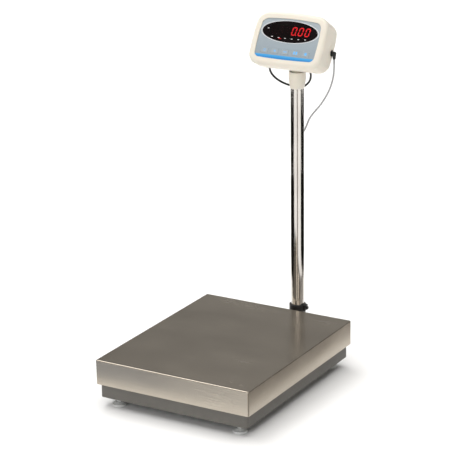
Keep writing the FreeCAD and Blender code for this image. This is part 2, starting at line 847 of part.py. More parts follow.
def make_grommet():
    """A rubber ring in the column's hole, its rim shaped to the tube."""
    throat, level = "grommet_radius - grommet_lip", "grommet_level"
    rim_start, neck_start = "column_radius - grommet_proud / 2", "column_radius - 2 * column_wall"
    rim = rod("grommet_rim", (0, rim_start, level), "grommet_radius", "1.5 * grommet_proud", "y")
    neck = rod("grommet_neck", (0, neck_start, level), throat, "2 * column_wall", "y")
    hole = rod("grommet_bore", (0, 0, level), "lead_radius + clearance", "2 * column_radius", "y")
    low, high = "grommet_level - 4 * grommet_radius", "8 * grommet_radius"
    tube = rod("grommet_seat", (0, 0, low), "column_radius", high)
    bore = rod("grommet_seat_bore", (0, 0, low), "column_radius - column_wall", high)
    gap = rod("grommet_seat_hole", (0, 0, level), throat, "2 * column_radius", "y")
    wall = cut("grommet_wall", tube, bore, gap)
    keep(cut("grommet", fuse("grommet_solid", rim, neck), hole, wall), "column_grommet", "column")


def make_neck():
    """A plastic socket that fits over the column and ends in a tongue for the tilt bolt."""
    taper = cone("neck_cone", (0, 0, "neck_bottom"), "neck_low_radius", "neck_radius", "neck_taper")
    low = "neck_bottom + neck_taper"
    upper = rod("neck_upper", (0, 0, low), "neck_radius", f"neck_top - ({low})")
    root, high = "neck_top - tongue_root", "hinge_height - neck_top + tongue_root"
    tongue = box("neck_tongue", (0, 0, root), "tongue_thick", "2 * tongue_radius", high)
    eye = rod("neck_eye", ("-tongue_thick / 2", 0, "hinge_height"), "tongue_radius", "tongue_thick", "x")
    bore = rod("neck_bore", (0, 0, "neck_bottom"), "column_radius + running_fit", "column_top - neck_bottom")
    pin = rod("neck_pin", ("-tongue_thick", 0, "hinge_height"), "tilt_bolt + running_fit", "2 * tongue_thick", "x")
    keep(cut("neck", fuse("neck_solid", taper, upper, tongue, eye), bore, pin), "neck_socket", "column")


# The indicator head. Its own axes: X to the right, Y up the face, Z out of the face, hinge at the origin.


def case_outline(owner, name, level, inset=0):
    middle = "(case_low + case_high) / 2"
    outline = sketch(owner, name, "XY_Plane", 0, middle, level)
    return rounded(
        outline,
        f"case_width - 2 * {inset}",
        f"case_high - case_low - 2 * {inset}",
        f"case_corner - {inset}",
    )


CASE_SCREW_X = "(case_width / 2 - case_corner / 2 - 2)"
CASE_SCREW_Y = "((case_high - case_low) / 2 - case_corner / 2 - 2)"


def case_screw_places():
    middle = "(case_low + case_high) / 2"
    return [(x, f"{middle} + {y}") for x, y in corner_points(CASE_SCREW_X, CASE_SCREW_Y)]


def post_places(x, y):
    return [(px, f"panel_middle + {py}") for px, py in corner_points(x, y)]


def key_places():
    return [(f"{step} * key_pitch", "key_middle") for step in (-2, -1, 0, 1, 2)]


def make_front_case():
    owner = body("front_body")
    pad(owner, "front_pad", case_outline(owner, "front_outline", "case_split"), "case_front - case_split")
    round_face(owner, "front_round", True, "case_front_edge")
    recess = sketch(owner, "front_recess", "XY_Plane", 0, "panel_middle", "panel_floor")
    rounded(recess, "panel_width", "panel_height", "panel_corner")
    pocket(owner, "front_panel_seat", recess, "case_front - panel_floor + clearance")
    inside = case_outline(owner, "front_inside", "case_split", "case_wall")
    pocket(owner, "front_hollow", inside, "face_inner - case_split")
    opening = box(
        "front_opening", (0, "opening_middle", "face_inner"),
        "opening_width", "opening_height", "case_wall",
    )
    windows = [
        box(f"key_hole_{index}", (x, y, "face_inner"), "key_width", "key_height", "case_wall")
        for index, (x, y) in enumerate(key_places(), 1)
    ]
    posts = [
        rod(f"front_post_{index}", (x, y, "board_face"), "post_radius", "face_inner - board_face + case_wall / 5")
        for index, (x, y) in enumerate(post_places(FRONT_POST_X, FRONT_POST_Y), 1)
    ]
    bosses = [
        rod(f"front_boss_{index}", (x, y, "case_split"), "case_boss", "face_inner - case_split + case_wall / 5")
        for index, (x, y) in enumerate(case_screw_places(), 1)
    ]
    deep = "case_front - case_split - boss_cover"
    threads = [
        rod(f"front_thread_{index}", (x, y, "case_split"), "screw_radius + running_fit", deep)
        for index, (x, y) in enumerate(case_screw_places(), 1)
    ]
    shell = cut("front_open", owner, opening, *windows)
    whole = fuse("front_whole", shell, *posts, *bosses)
    keep(cut("front", whole, *threads), "front_case", "head")


FRONT_POST_X = "(board_width / 2 - 2 * post_radius)"
FRONT_POST_Y = "(board_height / 2 - post_radius - 1)"
REAR_POST_X = "(board_width / 2 - 4 * post_radius)"
REAR_POST_Y = "(board_height / 2 - 3 * post_radius)"


def make_rear_case():
    owner = body("rear_body")
    pad(owner, "rear_pad", case_outline(owner, "rear_outline", "case_back"), "case_split - case_back")
    round_face(owner, "rear_round", False, "case_rear_edge")
    inside = case_outline(owner, "rear_inside", "case_back + case_wall", "case_wall")
    pocket(owner, "rear_hollow", inside, "case_split - case_back")
    root = "(case_back + case_wall / 2)"
    posts = [
        rod(f"rear_post_{index}", (x, y, root), "post_radius", f"main_board - {root}")
        for index, (x, y) in enumerate(post_places(REAR_POST_X, REAR_POST_Y), 1)
    ]
    bosses = [
        rod(f"rear_boss_{index}", (x, y, root), "case_boss", f"case_split - {root}")
        for index, (x, y) in enumerate(case_screw_places(), 1)
    ]
    bores = []
    for index, (x, y) in enumerate(case_screw_places(), 1):
        bores.append(rod(f"rear_bore_{index}", (x, y, 0), "screw_radius + running_fit", "case_front"))
        bores.append(rod(f"rear_sink_{index}", (x, y, 0), "2 * screw_radius", "case_back + screw_sink"))
    bores += [
        rod(f"plate_bore_{index}", (x, y, 0), "screw_radius + running_fit", "case_back + case_wall + clearance")
        for index, (x, y) in enumerate(plate_screw_places(), 1)
    ]
    side = rod("side_hole", ("case_width / 4", "plug_level", "plug_depth"), "jack_radius", "case_width / 2", "x")
    keep(cut("rear", fuse("rear_whole", owner, *posts, *bosses), *bores, side), "rear_case", "head")


def make_case_screws():
    screws = []
    for index, (x, y) in enumerate(case_screw_places(), 1):
        seat = "(case_back + screw_sink)"
        head = rod(f"case_head_{index}", (x, y, f"{seat} - screw_head"), "2 * screw_radius - clearance", "screw_head")
        shank = rod(f"case_shank_{index}", (x, y, seat), "screw_radius", f"case_split + screw_grip - {seat}")
        screws.append(fuse(f"case_screw_{index}", head, shank))
    keep(group("case_screw_group", *screws), "case_screws", "head")


def oval(name, wide, high, low, long, middle):
    edge = new("Part::Ellipse", name + "_edge", MajorRadius=f"({wide}) / 2", MinorRadius=f"({high}) / 2")
    put(edge, 0, middle, low)
    item = new("Part::Extrusion", name, LengthFwd=long)
    item.Base = edge
    item.DirMode = "Custom"
    item.Dir = V(0, 0, 1)
    item.Solid = True
    return item


def make_overlay():
    owner = plate(
        "overlay_body", "panel_width - 2 * clearance", "panel_height - 2 * clearance", "panel_corner - clearance",
        "panel_floor", "head_front", 0, "panel_middle",
    )
    window = oval("overlay_window", "window_width", "window_height", "panel_floor", "overlay_sheet", "window_middle")
    keys = [
        box(f"overlay_key_{index}", (x, y, "panel_floor"), "key_width", "key_height", "overlay_sheet")
        for index, (x, y) in enumerate(key_places(), 1)
    ]
    keep(cut("overlay", owner, window, *keys), "front_overlay", "head")
    lens = oval(
        "lens", "window_width - 2 * running_fit", "window_height - 2 * running_fit",
        "panel_floor", "overlay_sheet + lens_proud", "window_middle",
    )
    keep(lens, "window_lens", "head")


def make_keys():
    low = "(face_inner - key_flange_gap - key_flange)"
    cap_wide, cap_high = "key_width - 2 * key_gap", "key_height - 2 * key_gap"
    foot = "(switch_top + key_travel + running_fit)"
    for index, (x, y) in enumerate(key_places(), 1):
        cap = box(f"key_cap_{index}", (x, y, low), cap_wide, cap_high, f"head_front + key_proud - {low}")
        rim = box(f"key_rim_{index}", (x, y, low), "key_width + 2 * key_rim", "key_height + 2 * key_rim", "key_flange")
        stem = rod(f"key_stem_{index}", (x, y, foot), "key_stem", f"{low} - {foot} + key_flange / 2")
        keep(fuse(f"key_{index}_solid", cap, rim, stem), f"key_{index}", "head")


def digit_places(middle):
    return [(f"{step} * digit_pitch", middle) for step in (-2.5, -1.5, -0.5, 0.5, 1.5, 2.5)]


def make_boards():
    display = plate(
        "display_body", "board_width", "board_height", "board_corner",
        "display_board", "board_face", 0, "panel_middle",
    )
    keep(display, "display_board", "head")
    main = plate(
        "main_body", "board_width - 2 * main_side_gap", "board_height - 2 * main_end_gap", "board_corner",
        "main_board", "main_board + board_thick", 0, "panel_middle",
    )
    keep(main, "main_board", "head")
    low, high = "main_board + board_thick", "display_board - main_board - board_thick"
    header = box("header", (0, "header_middle", low), "header_width", "header_depth", high)
    keep(header, "board_header", "head")
    digits = [
        box(f"digit_{index}", (x, y, "board_face"), "digit_width", "digit_height", "digit_deep")
        for index, (x, y) in enumerate(digit_places("digit_middle"), 1)
    ]
    keep(group("digit_group", *digits), "led_digits", "head")
    lamps = [
        rod(f"lamp_{index}", (x, y, "board_face"), "lamp_radius", "digit_deep")
        for index, (x, y) in enumerate(digit_places("lamp_middle"), 1)
    ]
    keep(group("lamp_group", *lamps), "status_lamps", "head")
    switches = [
        box(f"switch_{index}", (x, y, "board_face"), "switch_width", "switch_width", "switch_top - board_face")
        for index, (x, y) in enumerate(key_places(), 1)
    ]
    keep(group("switch_group", *switches), "key_switches", "head")


def plate_screw_places():
    x = "(lug_outer + plate_screw_out)"
    return [(f"{side} * {x}", y) for side in (-1, 1) for y in ("plate_screw_low", "plate_screw_high")]


def make_tilt_bracket():
    """A steel plate on the back of the head, with two lugs either side of the neck's tongue."""
    low = "(case_back - lug_plate)"
    wide = "2 * (lug_outer + plate_side)"
    base = box("lug_base", (0, "plate_middle", low), wide, "plate_height", "lug_plate")
    lugs, eyes = [], []
    for index, side in enumerate((-1, 1), 1):
        middle = f"{side} * (tongue_thick / 2 + lug_gap + lug_thick / 2)"
        high = "case_back - lug_plate / 3"
        lugs.append(box(f"lug_{index}", (middle, 0, 0), "lug_thick", "2 * tongue_radius", high))
        start = f"{middle} - lug_thick / 2"
        eyes.append(rod(f"lug_eye_{index}", (start, 0, 0), "tongue_radius", "lug_thick", "x"))
    pin = rod("lug_pin", ("-2 * lug_outer", 0, 0), "tilt_bolt + running_fit", "4 * lug_outer", "x")
    bores = [
        rod(f"lug_bore_{index}", (x, y, low), "screw_radius + running_fit", "lug_plate")
        for index, (x, y) in enumerate(plate_screw_places(), 1)
    ]
    keep(cut("bracket_head", fuse("lug_whole", base, *lugs, *eyes), pin, *bores), "tilt_bracket", "head")
    screws = []
    for index, (x, y) in enumerate(plate_screw_places(), 1):
        head_low = f"{low} - plate_screw_head"
        head = rod(f"plate_head_{index}", (x, y, head_low), "1.75 * screw_radius", "plate_screw_head")
        shank = rod(f"plate_shank_{index}", (x, y, low), "screw_radius", "lug_plate + case_wall + clearance")
        screws.append(fuse(f"plate_screw_{index}", head, shank))
    keep(group("plate_screw_group", *screws), "bracket_screws", "head")


def make_tilt_bolt():
    head = rod("tilt_head", ("lug_outer", 0, 0), "bolt_head", "bolt_head_height", "x")
    tail = "(lug_outer + tilt_bolt_tail)"
    shank = rod("tilt_shank", (f"-{tail}", 0, 0), "tilt_bolt", f"lug_outer + {tail}", "x")
    keep(fuse("tilt", head, shank), "tilt_bolt", "head")
    start = "-lug_outer - bolt_head_height"
    nut = new("Part::Prism", "tilt_hex", Circumradius="tilt_nut", Height="bolt_head_height")
    put(turn(nut, V(0, 1, 0), 90), start, 0, 0)
    bore = rod("tilt_nut_bore", (start, 0, 0), "tilt_bolt + running_fit", "bolt_head_height", "x")
    keep(cut("tilt_nut_cut", nut, bore), "tilt_nut", "head")


def make_glands():
    """Two glands in the back of the head, for the ends of the looped lead."""
    glands = []
    for index, x in enumerate(("loop_left", "loop_right"), 1):
        nut_low, boot_low = "case_back - gland_height", "case_back - gland_height - boot_long"
        nut = rod(f"gland_nut_{index}", (x, "loop_level", nut_low), "gland_radius", "gland_height")
        tip = "loop_radius + boot_wall"
        boot = cone(f"gland_boot_{index}", (x, "loop_level", boot_low), tip, "boot_radius", "boot_long")
        glands.append(fuse(f"gland_{index}", nut, boot))
    keep(group("gland_group", *glands), "loop_glands", "head")


def make_cell_plug():
    """The lead's socket in the head's right side, and the angled plug that hangs from it."""
    side, level, depth = "(case_width / 2)", "plug_level", "plug_depth"
    barrel_start, barrel = f"{side} - jack_long", "jack_radius - running_fit"
    barrel = rod("jack_barrel", (barrel_start, level, depth), barrel, "jack_long", "x")
    flange = rod("jack_rim", (side, level, depth), "jack_radius + jack_flange", "jack_flange", "x")
    keep(fuse("jack", barrel, flange), "cell_jack", "head")
    start = f"({side} + jack_flange)"
    stub = rod("plug_stub", (start, level, depth), "plug_radius", f"plug_reach - {start}", "x")
    elbow = put(new("Part::Sphere", "plug_elbow", Radius="plug_radius + elbow_proud"), "plug_reach", level, depth)
    half, tip = "(plug_tail / 2)", "lead_radius + boot_wall"
    sleeve = new("Part::Cylinder", "plug_sleeve", Radius="plug_radius", Height=half)
    put(turn(sleeve, TURN_ON_X, "90 + face_tilt"), "plug_reach", level, depth)
    boot = new("Part::Cone", "plug_boot", Radius1="plug_radius", Radius2=tip, Height=half)
    boot_level, boot_depth = f"{level} - {half} * cos(face_tilt)", f"{depth} - {half} * sin(face_tilt)"
    put(turn(boot, TURN_ON_X, "90 + face_tilt"), "plug_reach", boot_level, boot_depth)
    keep(fuse("plug", stub, elbow, sleeve, boot), "cell_plug", "head")


# The leads. Points are X and Y from the column's axis, and Z from the floor.

BASE_LEAD = [
    (-30, -222, 48), (-30, -206, 48), (-28.5, -186, 45), (-24, -163, 39), (-16, -139, 34.3), (-7.5, -113, 32),
    (-2, -88, 32.4), (0.3, -64, 31.8), (0, -42, 32.1), (0, -24, 32), (0, -11, 32), (0, 0, 43), (0, 0, 57),
]
COLUMN_LEAD = [
    (0, 0, 57), (0, 0, 88), (0.7, 0.4, 130), (-0.6, -0.7, 182), (0.5, 0.6, 236), (-0.7, 0.4, 290),
    (0.6, -0.6, 344), (-0.5, 0.5, 396), (0.4, -1.4, 444), (0, -4.2, 480), (0, -6, 505), (0, -5, 521),
    (0, 1, 533), (0, 13, 537.6),
]
HEAD_LEAD = [
    (102.6, -9.91, 727.58), (102.6, -9.91, 706), (97, -8.7, 682), (86.5, -5.5, 658.5), (73.5, -1, 638.5),
    (59, 3.5, 619), (43.5, 10, 603.5), (29.5, 16.5, 588.5), (18, 24.5, 574), (10, 31.5, 562),
    (4.5, 34.5, 551), (1.2, 29, 541.5), (0, 18.6, 538.4),
]
LOOP_LEAD = [
    (-76, -9.4, 705.95), (-76, 2.64, 698.81), (-79, 11, 684.5), (-71.5, 18, 670), (-57, 26, 658),
    (-37, 33.5, 650), (-15, 37, 648), (2, 34.5, 653), (13.5, 29, 662), (23.5, 21, 673), (30.5, 11.5, 686),
    (33.5, 2.64, 698.81), (33.5, -9.4, 705.95),
]


def make_leads():
    keep(lead("base_lead_tube", BASE_LEAD, "lead_radius"), "base_lead", "column")
    keep(lead("column_lead_tube", COLUMN_LEAD, "lead_radius"), "column_lead", "column")
    keep(lead("head_lead_tube", HEAD_LEAD, "lead_radius"), "head_lead", "column")
    keep(lead("loop_lead_tube", LOOP_LEAD, "loop_radius"), "loop_lead", "column")


def build():
    make_platter()
    make_platter_pads()
    make_spider()
    make_load_cell()
    make_spacer("cell_lower_spacer", FIXED_END, "beam_top", "cell_bottom")
    make_spacer("cell_upper_spacer", LIVE_END, "cell_top", "spider_under")
    make_cell_bolts()
    make_base_frame()
    make_beam()
    make_beam_screws()
    make_stops()
    make_level()
    make_feet()
    make_foot_nuts()
    make_bracket()
    make_bracket_bolts()
    make_socket()
    make_sleeve()
    make_collar()
    make_clamp()
    make_column()
    make_grommet()
    make_neck()
    make_front_case()
    make_rear_case()
    make_case_screws()
    make_overlay()
    make_keys()
    make_boards()
    make_tilt_bracket()
    make_tilt_bolt()
    make_glands()
    make_cell_plug()
    make_leads()


def check_and_write():
    doc.recompute()
    for item in doc.Objects:
        if "Invalid" in item.State or "Error" in item.State:
            raise ValueError(f"{item.Name} failed: {item.State}")
    os.makedirs("parts", exist_ok=True)
    for item in SUB_PARTS:
        if item.Shape.isNull() or not item.Shape.isValid():
            raise ValueError(f"{item.Label} has no valid shape")
        item.Shape.exportStep(f"parts/{item.Label}.step")
    print(len(SUB_PARTS), "sub-parts written")


build()
check_and_write()
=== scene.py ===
import json
import math

import bpy
from mathutils import Matrix, Vector

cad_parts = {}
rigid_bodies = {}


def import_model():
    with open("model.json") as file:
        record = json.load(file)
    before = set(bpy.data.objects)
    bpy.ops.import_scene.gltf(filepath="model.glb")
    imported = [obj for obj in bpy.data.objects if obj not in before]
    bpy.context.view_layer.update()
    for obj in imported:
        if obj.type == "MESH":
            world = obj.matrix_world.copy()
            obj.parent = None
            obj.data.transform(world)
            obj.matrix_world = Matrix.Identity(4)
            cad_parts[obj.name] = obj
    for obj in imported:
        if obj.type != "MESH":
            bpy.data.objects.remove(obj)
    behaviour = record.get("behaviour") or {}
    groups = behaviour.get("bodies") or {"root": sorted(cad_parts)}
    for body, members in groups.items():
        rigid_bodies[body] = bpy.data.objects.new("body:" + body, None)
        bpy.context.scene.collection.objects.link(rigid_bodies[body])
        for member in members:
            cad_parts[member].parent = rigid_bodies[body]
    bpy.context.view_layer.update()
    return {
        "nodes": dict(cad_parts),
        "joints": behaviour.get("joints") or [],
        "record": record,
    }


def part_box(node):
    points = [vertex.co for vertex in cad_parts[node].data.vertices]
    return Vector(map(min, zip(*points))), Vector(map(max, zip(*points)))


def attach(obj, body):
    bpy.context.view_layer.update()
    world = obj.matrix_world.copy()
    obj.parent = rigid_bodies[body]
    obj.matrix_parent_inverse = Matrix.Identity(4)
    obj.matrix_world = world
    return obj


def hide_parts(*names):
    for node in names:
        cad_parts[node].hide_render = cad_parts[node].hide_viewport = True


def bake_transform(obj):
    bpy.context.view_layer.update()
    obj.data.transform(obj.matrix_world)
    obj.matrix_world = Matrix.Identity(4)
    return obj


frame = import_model()

# Platform shipping scale: sheet steel platter over a painted base, a polished column behind it,
# and a cream indicator head with a tinted display window, five film keys and two leads.
# Metres, X to the right, Y to the back, Z up. Sizes written as n * MM are millimetres, and so are
# the steps of a turned profile, the points of a lead, the digits' pitch and half a print's thickness.

MM = 0.001
NEAR = 0.02 * MM
UP = Vector((0, 0, 1))
JOINTS = {joint["name"]: joint for joint in frame["joints"]}
DIGIT_PITCH = 17.5
PRINT = 0.03
CASE_WALL = 2.5 * MM
SEAM = 0.5 * MM

# The head's own axes: X to the right, Y up the face, Z out of the face, from the tilt bolt.
HINGE = Vector(JOINTS["head_tilt"]["pos_m"])
FACE_OUT = -Vector(JOINTS["key_1_press"]["axis"])
FACE_UP = FACE_OUT.cross(Vector((1, 0, 0)))
HEAD = Matrix.Translation(HINGE) @ Matrix(((1, 0, 0), FACE_UP, FACE_OUT)).transposed().to_4x4()


# ---- Modelling by hand ----


def release():
    """Leaves edit mode with nothing selected."""
    if bpy.context.object and bpy.context.object.mode != "OBJECT":
        bpy.ops.object.mode_set(mode="OBJECT")
    bpy.ops.object.select_all(action="DESELECT")


def pick(piece, *others):
    release()
    for item in (piece, *others):
        item.select_set(True)
    bpy.context.view_layer.objects.active = piece


def named(name):
    """Names the primitive that was just added, and puts its place into its mesh."""
    piece = bpy.context.object
    piece.name = piece.data.name = name
    pick(piece)
    bpy.ops.object.transform_apply(location=True, rotation=True, scale=True)
    return piece


def block(name, low, high):
    release()
    low, high = Vector(low), Vector(high)
    bpy.ops.mesh.primitive_cube_add(size=1, location=(low + high) / 2, scale=high - low)
    return named(name)


def slab(name, half_x, half_y, low, high, x=0.0, y=0.0):
    """A block between two heights, centred on the upright line through x and y, all in millimetres."""
    return block(name, Vector((x - half_x, y - half_y, low)) * MM, Vector((x + half_x, y + half_y, high)) * MM)


def everything(piece):
    pick(piece)
    bpy.ops.object.mode_set(mode="EDIT")
    bpy.ops.mesh.select_all(action="SELECT")


def choose(piece, kind, test):
    """Enters edit mode with only the faces or edges that pass the test selected."""
    pick(piece)
    bpy.ops.object.mode_set(mode="EDIT")
    bpy.ops.mesh.select_mode(type=kind)
    bpy.ops.mesh.select_all(action="DESELECT")
    bpy.ops.object.mode_set(mode="OBJECT")
    mesh = piece.data
    if kind == "FACE":
        for face in mesh.polygons:
            face.select = bool(test(face.center, face.normal))
    else:
        for edge in mesh.edges:
            first, second = (mesh.vertices[index].co for index in edge.vertices)
            edge.select = bool(test((first + second) / 2, second - first))
    bpy.ops.object.mode_set(mode="EDIT")


def upright(middle, run):
    """Whether an edge stands along Z."""
    return abs(run.z) > 10 * (abs(run.x) + abs(run.y))


def at_height(height):
    """A test for edges that lie flat at a height."""
    return lambda middle, run: abs(middle.z - height) < NEAR and abs(run.z) < NEAR


def flat_face(height, side=1):
    """A test for flat faces at a height that look up, or down with side -1."""
    return lambda middle, normal: normal.z * side > 0.99 and abs(middle.z - height) < NEAR


def bevel(offset, segments):
    bpy.ops.mesh.bevel(offset=offset, segments=segments, affect="EDGES", clamp_overlap=False)


def round_uprights(piece, offset, segments):
    choose(piece, "EDGE", upright)
    bevel(offset, segments)
    release()


def inset(thickness):
    bpy.ops.mesh.inset(thickness=thickness, use_even_offset=True)


def extrude(x, y, z):
    bpy.ops.mesh.extrude_region_move(TRANSFORM_OT_translate={"value": (x, y, z)})


def face_outwards(piece):
    everything(piece)
    bpy.ops.mesh.remove_doubles(threshold=0.001 * MM)
    bpy.ops.mesh.normals_make_consistent(inside=False)
    release()


def turned(name, profile, sides, hollow=False):
    """A lathe piece about Z: a circle carried through (radius, height) steps, and back if hollow."""
    release()
    steps = [(radius * MM, height * MM) for radius, height in profile]
    if hollow:
        steps.append(steps[0])
    radius, height = steps[0]
    fill = "NOTHING" if hollow else "NGON"
    bpy.ops.mesh.primitive_circle_add(vertices=sides, radius=radius, fill_type=fill, location=(0, 0, height))
    piece = named(name)
    everything(piece)
    for next_radius, next_height in steps[1:]:
        extrude(0, 0, next_height - height)
        grow = next_radius / radius
        bpy.ops.transform.resize(value=(grow, grow, 1), center_override=(0, 0, next_height))
        radius, height = next_radius, next_height
    face_outwards(piece)
    return piece


def move(piece, spot):
    """Puts a piece somewhere else, with the move in its mesh."""
    pick(piece)
    piece.matrix_world = spot @ piece.matrix_world
    bpy.ops.object.transform_apply(location=True, rotation=True, scale=True)
    return piece


def at(x, y, z):
    return Matrix.Translation((x, y, z))


def along(axis):
    """Turns Z onto another direction."""
    return UP.rotation_difference(Vector(axis)).to_matrix().to_4x4()


def copy_of(piece, name, spot):
    twin = piece.copy()
    twin.data = piece.data.copy()
    twin.name = twin.data.name = name
    bpy.context.collection.objects.link(twin)
    return move(twin, spot)


def drop(*pieces):
    for piece in pieces:
        bpy.data.objects.remove(piece)


def modify(piece, kind, **settings):
    pick(piece)
    modifier = piece.modifiers.new(kind, kind)
    for word, value in settings.items():
        setattr(modifier, word, value)
    bpy.ops.object.modifier_apply(modifier=modifier.name)
    return piece


def soften(piece, width, segments, angle=40):
    return modify(
        piece, "BEVEL", width=width, segments=segments, limit_method="ANGLE",
        angle_limit=math.radians(angle), use_clamp_overlap=True,
    )


def carve(piece, *tools):
    for tool in tools:
        modify(piece, "BOOLEAN", operation="DIFFERENCE", solver="EXACT", object=tool)
        drop(tool)
    return piece


def weld(piece, other):
    modify(piece, "BOOLEAN", operation="UNION", solver="EXACT", object=other)
    drop(other)
    return piece


def join(piece, *others):
    pick(piece, *others)
    bpy.ops.object.join()
    return piece


def paint(piece, finish):
    piece.data.materials.clear()
    piece.data.materials.append(finish.material)
    return piece


def dress(piece, slot, *nodes, smooth=35):
    """Finishes a piece: soft shading, its slot's finish and the nodes it stands for."""
    pick(piece)
    bpy.ops.object.shade_smooth_by_angle(angle=math.radians(smooth))
    modify(piece, "WEIGHTED_NORMAL", keep_sharp=True)
    release()
    if not piece.data.materials:
        paint(piece, FINISHES[slot])
    if nodes:
        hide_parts(*nodes)
    return piece


def place(piece, body, slot, *nodes, smooth=35):
    """Finishes a rigid piece and rides it on its body."""
    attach(dress(piece, slot, *nodes, smooth=smooth), body)


def on_head(piece, slot, *nodes, smooth=35):
    """Finishes a piece made along the head's own axes and rides it on the head."""
    place(move(piece, HEAD), "head", slot, *nodes, smooth=smooth)


def box_of(node):
    """A node's lowest corner, highest corner and middle."""
    low, high = map(Vector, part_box(node))
    return low, high, (low + high) / 2


def head_box(node):
    """A node's lowest corner, highest corner and middle along the head's own axes."""
    back = HEAD.inverted()
    points = [back @ vertex.co for vertex in frame["nodes"][node].data.vertices]
    low = Vector([min(point[axis] for point in points) for axis in range(3)])
    high = Vector([max(point[axis] for point in points) for axis in range(3)])
    return low, high, (low + high) / 2


# ---- Finishes ----


class Value:
    """A shader socket that is used in sums as a number is."""

    def __init__(self, finish, socket):
        self.finish, self.socket = finish, socket

    def math(self, operation, first, second=0.0):
        return self.finish.node("ShaderNodeMath", {"operation": operation}, {0: first, 1: second})

    def __add__(self, other):
        return self.math("ADD", self, other)

    def __rsub__(self, other):
        return self.math("SUBTRACT", other, self)

    def __mul__(self, other):
        return self.math("MULTIPLY", self, other)

    def __lt__(self, other):
        return self.math("LESS_THAN", self, other)

    def __gt__(self, other):
        return self.math("GREATER_THAN", self, other)


class Finish:
    """A material: a Principled shader whose varying sockets are fed by nodes."""

    def __init__(self, name, **uniform):
        self.material = bpy.data.materials.new(name)
        self.material.use_nodes = True
        self.tree = self.material.node_tree
        self.shader = self.tree.nodes["Principled BSDF"]
        for word, value in uniform.items():
            self.shader.inputs[word.replace("_", " ")].default_value = value
        self.where = self.node("ShaderNodeTexCoord", {}, {}, "Object")

    def node(self, kind, settings, sockets, out=0):
        item = self.tree.nodes.new(kind)
        for word, value in settings.items():
            setattr(item, word, value)
        for word, value in sockets.items():
            if isinstance(value, Value):
                self.tree.links.new(value.socket, item.inputs[word])
            else:
                item.inputs[word].default_value = value
        return Value(self, item.outputs[out])

    def feed(self, **sockets):
        for word, value in sockets.items():
            self.tree.links.new(value.socket, self.shader.inputs[word.replace("_", " ")])
        return self

    def stretch(self, x, y, z):
        return self.node("ShaderNodeMapping", {}, {"Vector": self.where, "Scale": (x, y, z)})

    def noise(self, scale, detail=3.0, where=None, rough=0.5):
        sockets = {"Vector": where or self.where, "Scale": scale, "Detail": detail, "Roughness": rough}
        return self.node("ShaderNodeTexNoise", {}, sockets)

    def blend(self, amount, first, second):
        """Colour first where amount is 0, and second where it is 1."""
        sockets = {"Factor": amount, 6: first, 7: second}
        return self.node("ShaderNodeMix", {"data_type": "RGBA"}, sockets, 2)

    def between(self, value, low, high, to_low=0.0, to_high=1.0):
        sockets = {"Value": value, "From Min": low, "From Max": high, "To Min": to_low, "To Max": to_high}
        return self.node("ShaderNodeMapRange", {"interpolation_type": "SMOOTHSTEP"}, sockets)

    def colour(self, amount, first, second):
        return self.feed(Base_Color=self.blend(amount, first, second))

    def gloss(self, value, low, high):
        """Roughness low where the value is small and high where it is large."""
        return self.feed(Roughness=self.between(value, 0.3, 0.7, low, high))

    def bump(self, height, distance, strength):
        sockets = {"Height": height, "Distance": distance, "Strength": strength}
        self.feed(Normal=self.node("ShaderNodeBump", {}, sockets))
        return self

    def edge_wear(self, radius):
        """1 on edges that stick out, from the bevelled normal against the true one."""
        worn = self.node("ShaderNodeBevel", {"samples": 4}, {"Radius": radius})
        true = self.node("ShaderNodeNewGeometry", {}, {}, "Normal")
        same = self.node("ShaderNodeVectorMath", {"operation": "DOT_PRODUCT"}, {0: worn, 1: true}, "Value")
        return self.between(same, 0.98, 0.75)

    def head_axes(self):
        """X, Y and Z along the head's own axes, in millimetres."""
        sockets = {"Vector": self.where, "Location": HINGE, "Rotation": HEAD.to_euler(), "Scale": (MM, MM, MM)}
        local = self.node("ShaderNodeMapping", {"vector_type": "TEXTURE"}, sockets)
        item = self.tree.nodes.new("ShaderNodeSeparateXYZ")
        self.tree.links.new(local.socket, item.inputs[0])
        return [Value(self, item.outputs[index]) for index in range(3)]


def rgb(red, green, blue):
    """A colour from its 0 to 255 values."""

    def linear(value):
        value /= 255
        return value / 12.92 if value <= 0.04045 else ((value + 0.055) / 1.055) ** 2.4

    return (linear(red), linear(green), linear(blue), 1.0)


def grained(name, scale, detail, dark, light, gloss, relief=0.0, **uniform):
    """A finish whose colour, roughness and relief in millimetres follow one fine noise."""
    finish = Finish(name, **uniform)
    grain = finish.noise(scale, detail)
    finish.colour(grain, dark, light)
    finish.gloss(grain, *gloss)
    return finish.bump(grain, relief * MM, 0.4) if relief else finish


def brushed_stainless():
    """Sheet ground along its width: fine lines, broad cloudy patches and a few faint scratches."""
    steel = Finish("brushed_stainless", Metallic=1.0)
    lines = steel.noise(900.0, 6.0, steel.stretch(0.03, 1.0, 1.0), 0.7)
    broad = steel.noise(9.0, 4.0, steel.stretch(0.5, 1.0, 1.0))
    scratches = steel.noise(260.0, 2.0, steel.stretch(1.0, 0.02, 1.0)) > 0.735
    tone = steel.blend(lines * 0.6 + broad * 0.4, rgb(170, 160, 146), rgb(206, 197, 183))
    steel.colour(scratches * 0.3, tone, rgb(222, 218, 210))
    steel.gloss(lines * 0.4 + broad * 0.6, 0.17, 0.28)
    return steel.bump(lines + scratches * 0.3, 0.016 * MM, 0.4)


def polished_tube():
    """Bright polished tube with faint rings of polishing and a little haze."""
    steel = Finish("polished_tube", Metallic=1.0)
    rings = steel.noise(420.0, 4.0, steel.stretch(0.05, 0.05, 1.0))
    haze = steel.noise(14.0, 3.0)
    steel.colour(haze, rgb(196, 190, 184), rgb(228, 225, 220))
    steel.gloss(rings * 0.5 + haze * 0.5, 0.07, 0.16)
    return steel.bump(rings, 0.01 * MM, 0.4)


